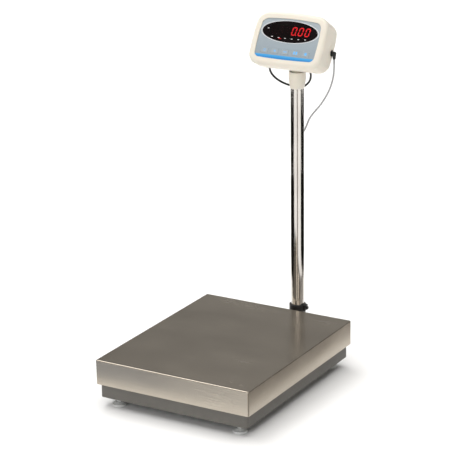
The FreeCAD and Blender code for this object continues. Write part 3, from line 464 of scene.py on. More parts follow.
def powder_coat():
    """Dark grey powder coat: fine orange peel, clouds of dust and rubbed edges."""
    coat = Finish("powder_coat", Coat_Roughness=0.35)
    peel = coat.noise(520.0, 3.0)
    dust = coat.noise(16.0, 5.0)
    rubbed = coat.edge_wear(1.2 * MM) * coat.between(dust, 0.45, 0.6)
    tone = coat.blend(dust, rgb(90, 87, 82), rgb(108, 105, 99))
    coat.colour(rubbed * 0.5, tone, rgb(140, 136, 128))
    coat.gloss(peel, 0.42, 0.6)
    return coat.bump(peel, 0.08 * MM, 0.6)


def zinc_plate():
    """Bright zinc: a slightly blue passivated metal with cloudy roughness."""
    zinc = Finish("zinc_plate", Metallic=0.35)
    cloud = zinc.noise(90.0, 5.0)
    grain = zinc.noise(900.0, 2.0)
    zinc.colour(cloud, rgb(216, 219, 221), rgb(240, 240, 236))
    zinc.gloss(cloud * 0.6 + grain * 0.4, 0.4, 0.58)
    return zinc.bump(grain, 0.02 * MM, 0.5)


def milled_aluminium():
    """Milled block with the cutter's regular fine lines."""
    metal = Finish("milled_aluminium", Metallic=1.0)
    waves = {"Vector": metal.where, "Scale": 480.0, "Distortion": 1.5}
    cuts = metal.node("ShaderNodeTexWave", {"bands_direction": "Y"}, waves)
    cloud = metal.noise(40.0)
    metal.colour(cloud, rgb(196, 198, 200), rgb(222, 223, 224))
    metal.feed(Roughness=metal.between(cuts * 0.4 + cloud * 0.6, 0.2, 0.8, 0.28, 0.44))
    return metal.bump(cuts, 0.02 * MM, 0.6)


def black_rubber():
    rubber = Finish("black_rubber")
    grain = rubber.noise(700.0, 3.0)
    bloom = rubber.noise(45.0, 4.0)
    rubber.colour(bloom, rgb(24, 24, 25), rgb(44, 43, 42))
    rubber.gloss(bloom, 0.62, 0.82)
    return rubber.bump(grain, 0.05 * MM, 0.6)


def black_plastic():
    """Moulded black nylon with a fine spark texture and edges painted lighter: partly rubbed wear, partly a
    painted sheen.
    """
    plastic = Finish("black_plastic")
    spark = plastic.noise(1500.0, 2.0)
    cloud = plastic.noise(60.0, 3.0)
    # Edges that stick out are painted lighter: rubbed wear and a painted sheen.
    worn = plastic.edge_wear(0.6 * MM)
    tone = plastic.blend(cloud, rgb(12, 12, 13), rgb(24, 24, 25))
    plastic.colour(worn * 0.4, tone, rgb(50, 49, 48))
    plastic.gloss(spark * 0.5 + cloud * 0.5, 0.34, 0.52)
    return plastic.bump(spark, 0.03 * MM, 0.6)


def white_nylon():
    nylon = Finish("white_nylon", Subsurface_Weight=0.15, Subsurface_Scale=0.002)
    cloud = nylon.noise(70.0, 4.0)
    nylon.colour(cloud, rgb(214, 210, 198), rgb(230, 227, 218))
    nylon.gloss(cloud, 0.38, 0.5)
    return nylon.bump(nylon.noise(900.0), 0.02 * MM, 0.5)


def cream_abs():
    """Moulded cream case: a satin spark texture, faint flow clouding and a little yellowing at edges."""
    case = Finish("cream_abs", Subsurface_Weight=0.08, Subsurface_Scale=0.003)
    spark = case.noise(1300.0, 3.0)
    cloud = case.noise(11.0, 4.0)
    worn = case.edge_wear(2.0 * MM)
    tone = case.blend(cloud, rgb(224, 217, 203), rgb(233, 227, 214))
    case.colour(worn * 0.25, tone, rgb(226, 216, 196))
    case.gloss(spark * 0.6 + cloud * 0.4, 0.36, 0.5)
    return case.bump(spark, 0.04 * MM, 0.6)


def panel_film():
    """Printed film: grey field with a silver fleck, painted shade that makes the field lighter towards the top of
    the face, and a blue band along its lower edge.
    """
    film = Finish("panel_film", Coat_Weight=0.25, Coat_Roughness=0.25)
    _, up, _ = film.head_axes()
    band_low, band_top = -13.0, -3.6
    fleck = film.noise(1600.0, 2.0)
    cloud = film.noise(18.0, 2.0)
    # Painted shade: the grey field is painted lighter towards the top of the face.
    shade = film.between(up, -14.0, 90.0)
    field = film.blend(fleck * 0.35 + cloud * 0.15 + shade * 0.5, rgb(140, 153, 163), rgb(176, 185, 190))
    band = film.blend(film.between(up, band_low, band_top), rgb(30, 128, 200), rgb(76, 164, 222))
    film.colour(up < band_top, field, band)
    film.gloss(fleck, 0.3, 0.42)
    return film.bump(fleck, 0.01 * MM, 0.4)


def key_film():
    """The film over a key: the panel's grey, a little rubbed."""
    film = Finish("key_film", Coat_Weight=0.25, Coat_Roughness=0.25)
    fleck = film.noise(1600.0, 2.0)
    rubbed = film.noise(160.0, 3.0)
    film.colour(fleck * 0.5 + rubbed * 0.5, rgb(148, 160, 169), rgb(170, 180, 186))
    film.gloss(rubbed, 0.28, 0.44)
    return film.bump(fleck, 0.01 * MM, 0.4)


def window_tint():
    """Smoked red acrylic over the display, with a black printed border."""
    lens = Finish("window_tint", IOR=1.38)
    smear = lens.noise(35.0, 4.0)
    lens.colour(smear, rgb(8, 2, 3), rgb(14, 4, 5))
    lens.feed(Roughness=lens.between(smear, 0.35, 0.7, 0.1, 0.2))
    across, up, _ = lens.head_axes()
    half_width, bottom, top = 55.0, 37.0, 73.0
    clear = (across < half_width) * (across > -half_width) * (up < top) * (up > bottom)
    lens.feed(Alpha=1.0 - clear * lens.between(smear, 0.3, 0.7, 0.3, 0.34))
    return lens


def circuit_board():
    """Green solder mask with copper runs under it."""
    board = Finish("circuit_board", Coat_Weight=0.4, Coat_Roughness=0.2)
    runs = board.node("ShaderNodeTexBrick", {"offset": 0.3}, {
        "Vector": board.where, "Color1": (0, 0, 0, 1), "Color2": (0, 0, 0, 1),
        "Mortar": (1, 1, 1, 1), "Scale": 110.0, "Mortar Size": 0.06,
    })
    cloud = board.noise(80.0, 3.0)
    mask = board.blend(cloud, rgb(14, 74, 40), rgb(22, 92, 52))
    board.colour(runs * 0.5, mask, rgb(52, 128, 72))
    board.gloss(cloud, 0.3, 0.45)
    return board.bump(runs, 0.03 * MM, 0.6)


def lit_segment():
    """A segment that is on, glowing a little unevenly."""
    glow = Finish("lit_segment", Base_Color=rgb(120, 8, 10), Emission_Strength=9.0, Roughness=0.4)
    grain = glow.noise(500.0, 2.0)
    glow.feed(Emission_Color=glow.blend(grain, rgb(255, 22, 30), rgb(255, 58, 60)))
    return glow


# An unlit segment: dull red, with a faint painted glow (emission strength 0.12) though it is off.
def dark_segment():
    dull = Finish("dark_segment", Emission_Strength=0.12, Roughness=0.5)
    grain = dull.noise(500.0, 2.0)
    colour = dull.blend(grain, rgb(84, 16, 18), rgb(104, 24, 26))
    return dull.feed(Base_Color=colour, Emission_Color=colour)


def graded_card():
    """A card that runs from mid grey at its left end to white at its right end: painted shade, seen only in
    reflections, that stands in for the shaded floor before the platter.
    """
    graded = Finish("graded_card", Roughness=1.0, Specular_IOR_Level=0.0)
    split = graded.node("ShaderNodeSeparateXYZ", {}, {"Vector": graded.where})
    along_card = graded.between(split, -0.3, 0.15)
    return graded.colour(along_card, rgb(188, 194, 205), rgb(247, 250, 255))


def lead_skin(name, dark, light):
    """Extruded PVC: a faint waviness and a satin skin."""
    skin = Finish(name)
    cloud = skin.noise(70.0, 3.0)
    grain = skin.noise(1100.0, 2.0)
    skin.colour(cloud, dark, light)
    skin.gloss(grain * 0.5 + cloud * 0.5, 0.38, 0.55)
    return skin.bump(grain * 0.5 + cloud * 0.5, 0.04 * MM, 0.5)


FINISHES = {
    "stainless_brushed": brushed_stainless(),
    "stainless_tube": polished_tube(),
    "painted_steel": powder_coat(),
    "zinc_steel": zinc_plate(),
    "cell_aluminium": milled_aluminium(),
    "black_rubber": black_rubber(),
    "black_plastic": black_plastic(),
    "nylon": white_nylon(),
    "level_fluid": grained(
        "level_fluid", 120.0, 2.0, rgb(186, 214, 66), rgb(206, 228, 92), (0.03, 0.08),
        Transmission_Weight=0.6, IOR=1.36,
    ),
    "cream_abs": cream_abs(),
    "overlay_film": panel_film(),
    "window_tint": window_tint(),
    "circuit_board": circuit_board(),
    "led_red": grained("digit_face", 900.0, 2.0, rgb(16, 12, 13), rgb(28, 22, 23), (0.5, 0.7), 0.02),
    "lamp_clear": grained(
        "lamp_clear", 400.0, 2.0, rgb(214, 210, 206), rgb(236, 232, 228), (0.12, 0.3),
        Transmission_Weight=0.5, IOR=1.5,
    ),
    "key_film": key_film(),
    "grey_lead": lead_skin("grey_lead", rgb(150, 150, 152), rgb(176, 176, 178)),
    "black_lead": lead_skin("black_lead", rgb(12, 12, 13), rgb(26, 26, 27)),
}
SILVER = grained("silver_rim", 800.0, 3.0, rgb(214, 218, 222), rgb(236, 238, 240), (0.26, 0.4), Metallic=0.4)
LIT, UNLIT = lit_segment(), dark_segment()
BLUE_INK = grained("blue_ink", 1800.0, 2.0, rgb(84, 170, 240), rgb(130, 200, 250), (0.35, 0.5))
WHITE_INK = grained("white_ink", 1800.0, 2.0, rgb(206, 204, 204), rgb(230, 228, 228), (0.35, 0.5))
BLACK = Finish("black_card", Base_Color=(0.01, 0.009, 0.008, 1), Roughness=1.0, Specular_IOR_Level=0.0)
GLOW = Finish("glow_card", Base_Color=(0, 0, 0, 1), Emission_Color=(1, 0.98, 0.95, 1), Emission_Strength=3.0)
# Mid grey for cards seen only in reflections; on the low card it is painted shade.
GREY = Finish("grey_card", Base_Color=(0.42, 0.4, 0.38, 1), Roughness=1.0, Specular_IOR_Level=0.0)


def finish_nodes():
    """Gives every CAD node the finish of its slot."""
    for row in frame["record"]["subparts"]:
        node = frame["nodes"][row["node"]]
        node.data.materials.clear()
        node.data.materials.append(FINISHES[row["material_slot"]].material)


# ---- Leads ----

COLUMN = Vector((0.03, 0.2554136, 0))
ON_COLUMN = Matrix.Translation(COLUMN)
COLUMN_LEAD = [
    (0, 0, 57), (0, 0, 88), (0.7, 0.4, 130), (-0.6, -0.7, 182), (0.5, 0.6, 236), (-0.7, 0.4, 290),
    (0.6, -0.6, 344), (-0.5, 0.5, 396), (0.4, -1.4, 444), (0, -4.2, 480), (0, -6, 505), (0, -5, 521),
    (0, 1, 533), (0, 13, 537.6),
]
HEAD_LEAD = [
    (102.6, -9.91, 727.58), (102.6, -9.91, 706), (97, -8.7, 682), (86.5, -5.5, 658.5), (73.5, -1, 638.5),
    (59, 3.5, 619), (43.5, 10, 603.5), (29.5, 16.5, 588.5), (18, 24.5, 574), (10, 31.5, 562),
    (4.5, 34.5, 551), (1.2, 29, 541.5), (0, 18.6, 538.4),
]
LOOP_LEAD = [
    (-76, -9.4, 705.95), (-76, 2.64, 698.81), (-79, 11, 684.5), (-71.5, 18, 670), (-57, 26, 658),
    (-37, 33.5, 650), (-15, 37, 648), (2, 34.5, 653), (13.5, 29, 662), (23.5, 21, 673), (30.5, 11.5, 686),
    (33.5, 2.64, 698.81), (33.5, -9.4, 705.95),
]


def lead_curve(name, points, radius):
    """A smooth round lead through listed points from the column's axis, in millimetres."""
    curve = bpy.data.curves.new(name, "CURVE")
    curve.dimensions = "3D"
    curve.resolution_u = 16
    spline = curve.splines.new("NURBS")
    spline.points.add(len(points) - 1)
    for knot, point in zip(spline.points, points):
        knot.co = (*(COLUMN + Vector(point) * MM), 1)
    spline.order_u = 3
    spline.use_endpoint_u = True
    curve.bevel_depth = radius
    curve.bevel_resolution = 6
    curve.use_fill_caps = True
    piece = bpy.data.objects.new(name, curve)
    bpy.context.collection.objects.link(piece)
    return piece


def route_of(curve):
    """The points along a lead's middle line."""
    plain = curve.copy()
    plain.data = curve.data.copy()
    plain.data.bevel_depth = 0
    bpy.context.collection.objects.link(plain)
    bpy.context.view_layer.update()
    mesh = bpy.data.meshes.new_from_object(plain)
    points = [tuple(vertex.co) for vertex in mesh.vertices]
    drop(plain)
    return points


def lead_mesh(name, node, points):
    """A grey lead as a mesh that stands for a node, and the points along its middle."""
    curve = lead_curve(name, points, 2 * MM)
    route = route_of(curve)
    pick(curve)
    bpy.ops.object.convert(target="MESH")
    lead = paint(bpy.context.object, FINISHES["grey_lead"])
    bpy.ops.object.shade_smooth()
    release()
    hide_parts(node)
    return lead, route


def make_leads():
    inner, route = lead_mesh("column_lead_twist", "column_lead", COLUMN_LEAD)
    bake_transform(inner)
    grey, route = lead_mesh("indicator_lead", "head_lead", HEAD_LEAD)
    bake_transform(grey)
    black = lead_curve("looped_lead", LOOP_LEAD, 2.5 * MM)
    loop = route_of(black)
    black.data.materials.append(FINISHES["black_lead"].material)
    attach(black, "head")
    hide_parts("loop_lead")


# ---- Camera, floor and light ----

CAMERA_AT = (2.17604, -3.75409, 1.80073)
CAMERA_HEADING, CAMERA_PITCH, CAMERA_ROLL = 30.367, 71.922, -0.791


def turn(degrees, axis):
    return Matrix.Rotation(math.radians(degrees), 4, axis)


def make_camera():
    camera = bpy.data.objects.new("camera", bpy.data.cameras.new("camera"))
    camera.data.lens = 158.17
    camera.data.sensor_width = 36
    camera.data.clip_end = 100
    aim = turn(CAMERA_HEADING, "Z") @ turn(CAMERA_PITCH, "X") @ turn(CAMERA_ROLL, "Z")
    camera.matrix_world = Matrix.Translation(CAMERA_AT) @ aim
    bpy.context.collection.objects.link(camera)
    bpy.context.scene.camera = camera


def make_stage():
    make_camera()
    release()
    bpy.ops.mesh.primitive_plane_add(size=40, location=(0, 0, 0))
    floor = named("floor")
    pale = Finish("pale_floor")
    cloud = pale.noise(0.8, 3.0)
    pale.colour(cloud, rgb(243, 243, 243), rgb(247, 247, 247))
    pale.gloss(cloud, 0.85, 0.95)
    paint(floor, pale)
    release()

    make_sky()
    soft_sun("key", (-0.6, 0.25, 1), 1.0)
    fill = soft_sun("fill", (-0.1, -1, 0.45), 0.8)
    fill.visible_glossy = False
    card("right_card", (0.40, 0.62), 1.1, 0.26, 45, BLACK)
    card("far_right_card", (0.91, 1.14), 2.6, 0.34, 45, BLACK)
    card("left_card", (-0.46, 0.16), 1.1, 0.26, -169, BLACK)
    card("far_left_card", (-1.20, 0.02), 2.6, 0.34, -169, BLACK)
    card("middle_card", (0.335, -0.32), 0.2, 0.6, 118, GREY)
    # The low grey card is painted shade: the right skirt reflects it as the shaded floor beside the platter.
    card("low_card", (0.29, 0.12), 0.85, 0.1, 0, GREY)
    # The front card's grey end is painted shade: the front skirt reflects it as the shaded floor.
    card("front_card", (-0.13, -0.43), 0.75, 0.07, 90, graded_card())
    card("bright_card", (1.43, -2.4), 2.2, 0.42, 118, GLOW, 0.95)
    bpy.context.scene.view_settings.view_transform = "Standard"


def soft_sun(name, towards, strength):
    light = bpy.data.lights.new(name, "SUN")
    light.angle = math.radians(40)
    light.energy = strength
    lamp = bpy.data.objects.new(name, light)
    lamp.matrix_world = Vector(towards).to_track_quat("Z", "Y").to_matrix().to_4x4()
    bpy.context.collection.objects.link(lamp)
    return lamp


def make_sky():
    """A white ceiling above a dim room, softer in reflections: bright overhead, dark near the horizon."""
    sky = bpy.data.worlds.new("room")
    sky.use_nodes = True
    nodes, links = sky.node_tree.nodes, sky.node_tree.links
    where = nodes.new("ShaderNodeTexCoord")
    split = nodes.new("ShaderNodeSeparateXYZ")
    glow = nodes.new("ShaderNodeMapRange")
    glow.interpolation_type = "SMOOTHSTEP"
    rays = nodes.new("ShaderNodeLightPath")
    ceiling = nodes.new("ShaderNodeMapRange")
    for item, word, value in (
        (glow, "From Min", 0.72), (glow, "From Max", 0.88), (glow, "To Min", 0.28),
        (ceiling, "To Min", 2.3), (ceiling, "To Max", 1.3),
    ):
        item.inputs[word].default_value = value
    links.new(rays.outputs["Is Glossy Ray"], ceiling.inputs["Value"])
    links.new(ceiling.outputs["Result"], glow.inputs["To Max"])
    links.new(where.outputs["Generated"], split.inputs["Vector"])
    links.new(split.outputs["Z"], glow.inputs["Value"])
    links.new(glow.outputs["Result"], nodes["Background"].inputs["Strength"])
    nodes["Background"].inputs["Color"].default_value = (1.0, 0.985, 0.96, 1)
    bpy.context.scene.world = sky


def card(name, spot, wide, high, heading, finish, lift=0.0):
    """An upright card that only reflections see, its face towards the heading in degrees."""
    release()
    facing = (math.radians(90), 0, math.radians(heading + 90))
    bpy.ops.mesh.primitive_plane_add(size=1, location=(*spot, lift + high / 2), rotation=facing)
    bpy.ops.transform.resize(value=(wide, high, 1), orient_type="LOCAL")
    flag = paint(named(name), finish)
    flag.visible_camera = flag.visible_diffuse = flag.visible_shadow = False
    release()


# ---- Platform ----


def make_platter():
    """One sheet bent down on four sides, its corners folded round and its lower edge open."""
    low, high, _ = box_of("platter")
    sheet = block("platter_sheet", low, high)
    round_uprights(sheet, 4 * MM, 6)
    choose(sheet, "FACE", flat_face(low.z, -1))
    bpy.ops.mesh.delete(type="FACE")
    choose(sheet, "EDGE", at_height(high.z))
    bevel(2.6 * MM, 5)
    release()
    modify(sheet, "SOLIDIFY", thickness=1.5 * MM, offset=-1)
    soften(sheet, 0.25 * MM, 2, 60)
    place(sheet, "platter", "stainless_brushed", "platter", smooth=30)


def make_load_cell():
    """The bending block: joined bores leave thin webs, and five cuts run across it between the fixed spacer and
    the platform's spacer.
    """
    low, high, middle = box_of("load_cell")
    cell = block("bending_cell", low, high)
    half_slot = Vector((30, 14.25, 4.75)) * MM
    slot = block("cell_slot", middle - half_slot, middle + half_slot)
    bore = turned("cell_bore", [(9.5, -30), (9.5, 30)], 48)
    drill = turned("bolt_hole", [(4.1, -30), (4.1, 30)], 32)
    webs = [
        copy_of(bore, "web", at(middle.x, middle.y + reach, middle.z) @ along((1, 0, 0)))
        for reach in (-half_slot.y, half_slot.y)
    ]
    bolt_half = 6.5 * MM
    rows = []
    for low, high, _ in (box_of("cell_lower_bolts"), box_of("cell_upper_bolts")):
        rows += [low.y + bolt_half, high.y - bolt_half]
    holes = [copy_of(drill, "hole", at(middle.x, y, middle.z)) for y in rows]
    carve(cell, slot, *webs, *holes)
    drop(bore, drill)
    fixed, moving = box_of("cell_lower_spacer")[0].y, box_of("cell_upper_spacer")[1].y
    for share in (0, 0.25, 0.5, 0.75, 1):
        everything(cell)
        bpy.ops.mesh.bisect(plane_co=(0, fixed + share * (moving - fixed), 0), plane_no=(0, 1, 0))
    release()
    dress(cell, "cell_aluminium", "load_cell")
    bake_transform(cell)


def thread(radius, low, high, pitch):
    """The ridges of a screw, as profile steps."""
    steps = []
    height = low
    while height + pitch <= high:
        steps += [(radius - 0.45, height), (radius, height + pitch / 2)]
        height += pitch
    return steps


def hexagon(name, radius, low, high):
    """A six-sided nut blank with turned corners."""
    edge = 0.5
    return turned(name, [(radius - 1, low), (radius, low + edge), (radius, high - edge), (radius - 1, high)], 6)


def make_feet():
    """The zinc feet, each with its threaded stud and the nut that locks it."""
    for index in range(1, 5):
        middle = box_of(f"foot_pad_{index}")[2]
        spot = at(middle.x, middle.y, 0)
        if index == 1:
            profile = [
                (15.4, 0), (16.6, 0.4), (17, 1.2), (17, 3.9), (16.6, 4.7), (15.6, 5), (14.6, 5.2), (11, 7.4),
                (10.2, 8), (9.8, 8.8), (9, 9), (4.3, 9), (4.2, 8.6),
            ]
            pad = turned("foot_pad", profile, 48)
            stud = turned("foot_stud", [(3.2, 5.2), *thread(4.0, 5.8, 61.4, 1.25), (3.4, 62)], 20)
            join(stud, hexagon("foot_collar", 6.4, 9, 14))
            nut = hexagon("foot_nut", 6.4, 14.3, 23.5)
        for pattern, name, body in ((pad, "levelling_foot", "foot_pad"), (stud, "levelling_stud", "foot_stud")):
            node = f"{body}_{index}"
            place(copy_of(pattern, f"{name}_{index}", spot), node, "zinc_steel", node)
        twin = copy_of(nut, f"foot_locknut_{index}", spot)
        nuts = twin if index == 1 else join(nuts, twin)
    place(nuts, "base", "zinc_steel", "foot_locknuts")
    drop(pad, stud, nut)


def make_level():
    """A round spirit level: a black cup, the fluid with its bubble and the centre ring."""
    low, _, middle = box_of("level_housing")
    base = low.z / MM
    spot = at(middle.x, middle.y, 0)
    cup = turned("level_cup", [
        (10.4, base), (11, base + 0.6), (11, base + 7.4), (10.6, base + 8), (9.2, base + 8),
        (9, base + 7.8), (9, base + 2), (0.5, base + 2),
    ], 48)
    place(move(cup, spot), "base", "black_plastic", "level_housing")
    fluid = turned("level_glass", [(8.95, base + 2), (8.95, base + 7.1), (8.4, base + 7.5), (0.5, base + 7.5)], 48)
    paint(fluid, FINISHES["level_fluid"])
    bubble = turned("level_bubble", [
        (1.2, base + 7.46), (2.2, base + 7.5), (1.8, base + 7.6), (0.4, base + 7.62),
    ], 24)
    paint(bubble, WHITE_INK)
    ring = turned("level_mark", [
        (3.4, base + 7.5), (3.4, base + 7.56), (3.7, base + 7.56), (3.7, base + 7.5),
    ], 40, True)
    paint(ring, FINISHES["black_plastic"])
    place(move(join(fluid, bubble, ring), spot), "base", "level_fluid", "level_vial")


# ---- Column ----


def make_column():
    low, high, _ = box_of("column_tube")
    bottom, top = low.z / MM, high.z / MM
    tube = turned("column", [
        (14.5, bottom), (15.8, bottom), (16, bottom + 0.3), (16, top - 0.3), (15.8, top), (14.5, top),
    ], 96, True)
    hole = turned("column_hole", [(3.5, 0), (3.5, 30)], 24)
    carve(tube, move(hole, at(0, 0, box_of("column_grommet")[2].z) @ along((0, 1, 0))))
    place(move(tube, ON_COLUMN), "column", "stainless_tube", "column_tube", smooth=25)


def make_collar():
    """The clamp collar with its boss, and the screw that grips the column."""
    low, high, _ = box_of("clamp_collar")
    base, top, reach = low.z / MM, high.z / MM, (high.x - COLUMN.x) / MM
    ring = turned("collar_ring", [
        (16.3, base), (20, base), (20.5, base + 0.6), (20.5, top - 1), (20, top - 0.3), (19.2, top),
        (16.9, top), (16.3, top - 0.6),
    ], 80, True)
    boss = block("collar_boss", (17.5 * MM, -8 * MM, low.z), (reach * MM, 8 * MM, high.z))
    soften(boss, 1.2 * MM, 3)
    weld(ring, boss)
    middle = (base + top) / 2
    eye = turned("collar_eye", [(3.1, 15), (3.1, 40)], 24)
    carve(ring, move(eye, at(0, 0, middle * MM) @ along((1, 0, 0))))
    place(move(ring, ON_COLUMN), "base", "black_plastic", "clamp_collar")

    low, high, _ = box_of("clamp_screw")
    start, end = (low.x - COLUMN.x) / MM, (high.x - COLUMN.x) / MM
    neck = end - 4.6
    screw = turned("grip_screw", [
        (2.4, start), *thread(3.0, start + 0.3, neck - 0.4, 1.0), (3.0, neck), (3.6, neck + 0.02), (4, neck + 0.5),
        (4, neck + 3.2), (3.5, neck + 4.1), (2.4, neck + 4.5), (1, neck + 4.6),
    ], 32)
    carve(screw, slab("screw_slot", 0.5, 5, end - 1.2, end + 1))
    move(screw, at(COLUMN.x, COLUMN.y, middle * MM) @ along((1, 0, 0)))
    place(screw, "clamp_screw", "black_plastic", "clamp_screw")


def make_neck():
    """The cream socket over the top of the column, with the tongue that the head tilts on."""
    base = box_of("neck_socket")[0].z / MM
    top = HINGE.z / MM - 15
    cup = turned("neck_cup", [
        (16.05, base + 34), (16.05, base + 0.4), (16.3, base), (16.7, base), (17, base + 0.5), (17.9, base + 5),
        (19.7, base + 16.5), (20.15, base + 20), (20.3, base + 23), (20.3, top - 2.4), (20, top - 1.2),
        (19.2, top - 0.3), (18, top),
    ], 72)
    tongue = block("neck_tongue", (-8 * MM, -12 * MM, (top - 3) * MM), (8 * MM, 12 * MM, HINGE.z))
    choose(tongue, "FACE", flat_face(HINGE.z))
    extrude(0, 0, 12 * MM)
    choose(tongue, "EDGE", lambda middle, run: abs(run.x) > 1 * MM and middle.z > HINGE.z + 1 * MM)
    bevel(11.9 * MM, 10)
    release()
    hole = turned("neck_eye", [(4.05, -20), (4.05, 20)], 32)
    carve(tongue, move(hole, at(0, 0, HINGE.z) @ along((1, 0, 0))))
    soften(tongue, 0.8 * MM, 2)
    place(move(join(cup, tongue), ON_COLUMN), "column", "cream_abs", "neck_socket")


# ---- Head ----


def case_half(name, low, high, wide):
    """Half of the case: a block with round uprights, its four sides bowed out towards their middles."""
    half = block(name, low, high)
    round_uprights(half, 26 * MM, 12)
    choose(half, "EDGE", lambda middle, run: abs(run.z) < NEAR and run.length > 40 * MM)
    bpy.ops.mesh.subdivide(number_cuts=11)
    release()
    middle = (low + high) / 2
    for vertex in half.data.vertices:
        across = (vertex.co.x - middle.x) / (wide / 2)
        up = 2 * (vertex.co.y - middle.y) / (high.y - low.y)
        pull, crown = (5.5, 6.0) if up > 0 else (2.5, 3.0)
        vertex.co.x -= pull * MM * across * up * up
        vertex.co.y -= crown * MM * up * across * across
    return half


def lift_underside(half):
    """Slopes the underside of the case up towards its back, less so near its corners."""
    rim, middle, lift = 68 * MM, 37 * MM, 9.5 * MM
    for vertex in half.data.vertices:
        depth = max(0.0, (rim - vertex.co.z) / (51 * MM))
        share = max(0.0, (middle - vertex.co.y) / (67 * MM))
        vertex.co.y += lift * depth ** 1.5 * share * (1 - 0.4 * (vertex.co.x / (96 * MM)) ** 2)


def make_case():
    """The two halves of the case, the front one recessed for the film and open for the display and keys."""
    low, high, _ = head_box("front_case")
    wide = high.x - low.x
    front = case_half("front_shell", low, high, wide)
    choose(front, "EDGE", at_height(high.z))
    bevel(9 * MM, 8)
    choose(front, "FACE", flat_face(high.z))
    inset(7.5 * MM)
    step = 0.3 * MM
    extrude(0, 0, -step)
    inset(step)
    film_low, film_high, _ = head_box("front_overlay")
    extrude(0, 0, film_low.z - high.z + step)
    bpy.ops.mesh.duplicate()
    bpy.ops.mesh.separate(type="SELECTED")
    release()
    film = [item for item in bpy.data.objects if item.name.startswith("front_shell.")][0]
    film.name = film.data.name = "panel_film"
    choose(front, "FACE", flat_face(low.z, -1))
    inset(CASE_WALL)
    extrude(0, 0, 25 * MM)
    choose(front, "EDGE", at_height(low.z))
    bevel(SEAM, 1)
    release()
    lift_underside(front)
    mid = head_box("window_lens")[2]
    gap = slab("display_gap", 58, 20, 50, 90, 0, mid.y / MM)
    carve(front, gap, *[key_hole(index, 0) for index in range(1, 6)])
    on_head(front, "cream_abs", "front_case", smooth=32)
    make_film(film, mid, film_high.z - film_low.z)
    make_rear(wide)


def key_hole(index, room):
    middle = head_box(f"key_{index}")[2]
    half = Vector((9 * MM - room, 6 * MM - room, 20 * MM))
    return block("key_gap", middle - half, middle + half)


def make_film(film, mid, thick):
    """The film in its recess, cut for the window and round the keys, and the rim round the window."""
    points = [vertex.co.copy() for vertex in film.data.vertices]
    everything(film)
    bpy.ops.transform.resize(value=(0.997, 0.996, 1), center_override=sum(points, Vector()) / len(points))
    extrude(0, 0, thick)
    release()
    face_outwards(film)
    window = turned("window_gap", [(74.6, 60), (74.6, 90)], 96)
    move(window, at(0, mid.y, 0) @ Matrix.Diagonal((1, 27.1 / 74.6, 1, 1)))
    carve(film, window, *[key_hole(index, 0.1 * MM) for index in range(1, 6)])
    on_head(film, "overlay_film", "front_overlay", smooth=20)

    low, high, _ = head_box("window_lens")
    base, top = low.z / MM, high.z / MM
    flat = at(0, mid.y, 0) @ Matrix.Diagonal((1, 26.9 / 74.4, 1, 1))
    lens = turned("lens", [
        (74.4, base), (74.4, top - 0.3), (74, top - 0.1), (60, top - 0.02), (30, top), (1, top),
    ], 96)
    paint(move(lens, flat), FINISHES["window_tint"])
    spread = [(index - 2.5) * DIGIT_PITCH for index in range(6)]
    marks = [mark(x, 39 + 1.6 * (x / 44) ** 2, top) for x in spread]
    marks.append(mark(-58, 60, top))
    on_head(join(lens, *marks), "window_tint", "window_lens", smooth=20)
    rim = turned("window_rim", [
        (72.6, top - 0.25), (72.7, top + 0.15), (73.3, top + 0.3), (75.9, top + 0.3), (76.7, top + 0.1),
        (76.8, top - 0.25),
    ], 96, True)
    on_head(paint(move(rim, flat), SILVER), "window_tint", smooth=40)


def mark(x, y, top):
    """A small printed dash on the window."""
    dash = slab("dash", 2.2, 0.8, top - 0.05, top + 0.04, x, y)
    round_uprights(dash, 0.7 * MM, 3)
    return paint(dash, WHITE_INK)


def make_rear(wide):
    """The back half: rounded back edge, a row of vents, screw wells and the socket's hole."""
    low, high, _ = head_box("rear_case")
    rear = case_half("rear_shell", low, high, wide)
    choose(rear, "EDGE", at_height(low.z))
    bevel(5 * MM, 6)
    choose(rear, "FACE", flat_face(high.z))
    inset(CASE_WALL)
    extrude(0, 0, low.z - high.z + 6 * MM)
    choose(rear, "EDGE", at_height(high.z))
    bevel(SEAM, 1)
    release()
    lift_underside(rear)
    screw_low, screw_high, _ = head_box("case_screws")
    reach = 3.7 * MM
    wells = []
    for x in (screw_low.x + reach, screw_high.x - reach):
        for y in (screw_low.y + reach, screw_high.y - reach):
            well = turned("screw_well", [(4, -5), (4, low.z / MM + 3)], 32)
            wells.append(move(well, at(x, y, 0)))
    vents = []
    for x in range(-48, 49, 8):
        vent = slab("vent", 1, 15, low.z / MM - 1, low.z / MM + 1.6, x, 67)
        round_uprights(vent, 0.9 * MM, 3)
        vents.append(vent)
    mid = head_box("cell_jack")[2]
    hole = move(turned("jack_gap", [(6, 80), (6, 110)], 32), at(0, mid.y, mid.z) @ along((1, 0, 0)))
    carve(rear, *wells, *vents, hole)
    on_head(rear, "cream_abs", "rear_case", smooth=32)


def make_keys():
    """Five film keys, each a soft raised pad with a plain sign on it."""
    low, high, _ = head_box("key_1")
    base, top = low.z / MM, high.z / MM
    pad = slab("key_pad", 8.7, 5.7, top - 4.7, top)
    round_uprights(pad, 2.4 * MM, 5)
    choose(pad, "EDGE", at_height(high.z))
    bevel(0.35 * MM, 3)
    release()
    flange = slab("key_flange", 10.5, 7.5, top - 4.7, top - 3.5)
    stem = turned("key_stem", [(1.7, base), (2, base + 0.3), (2, top - 4.5)], 24)
    pad = paint(join(pad, soften(flange, 0.3 * MM, 2), stem), FINISHES["key_film"])
    for index in range(1, 6):
        middle = head_box(f"key_{index}")[2]
        key = copy_of(pad, f"film_key_{index}", at(middle.x, middle.y, 0))
        sign = key_sign(index, top)
        key = join(key, move(paint(sign, BLUE_INK), at(middle.x, middle.y, 0)))
        place(move(key, HEAD), f"key_{index}", "key_film", f"key_{index}", smooth=30)
    drop(pad)


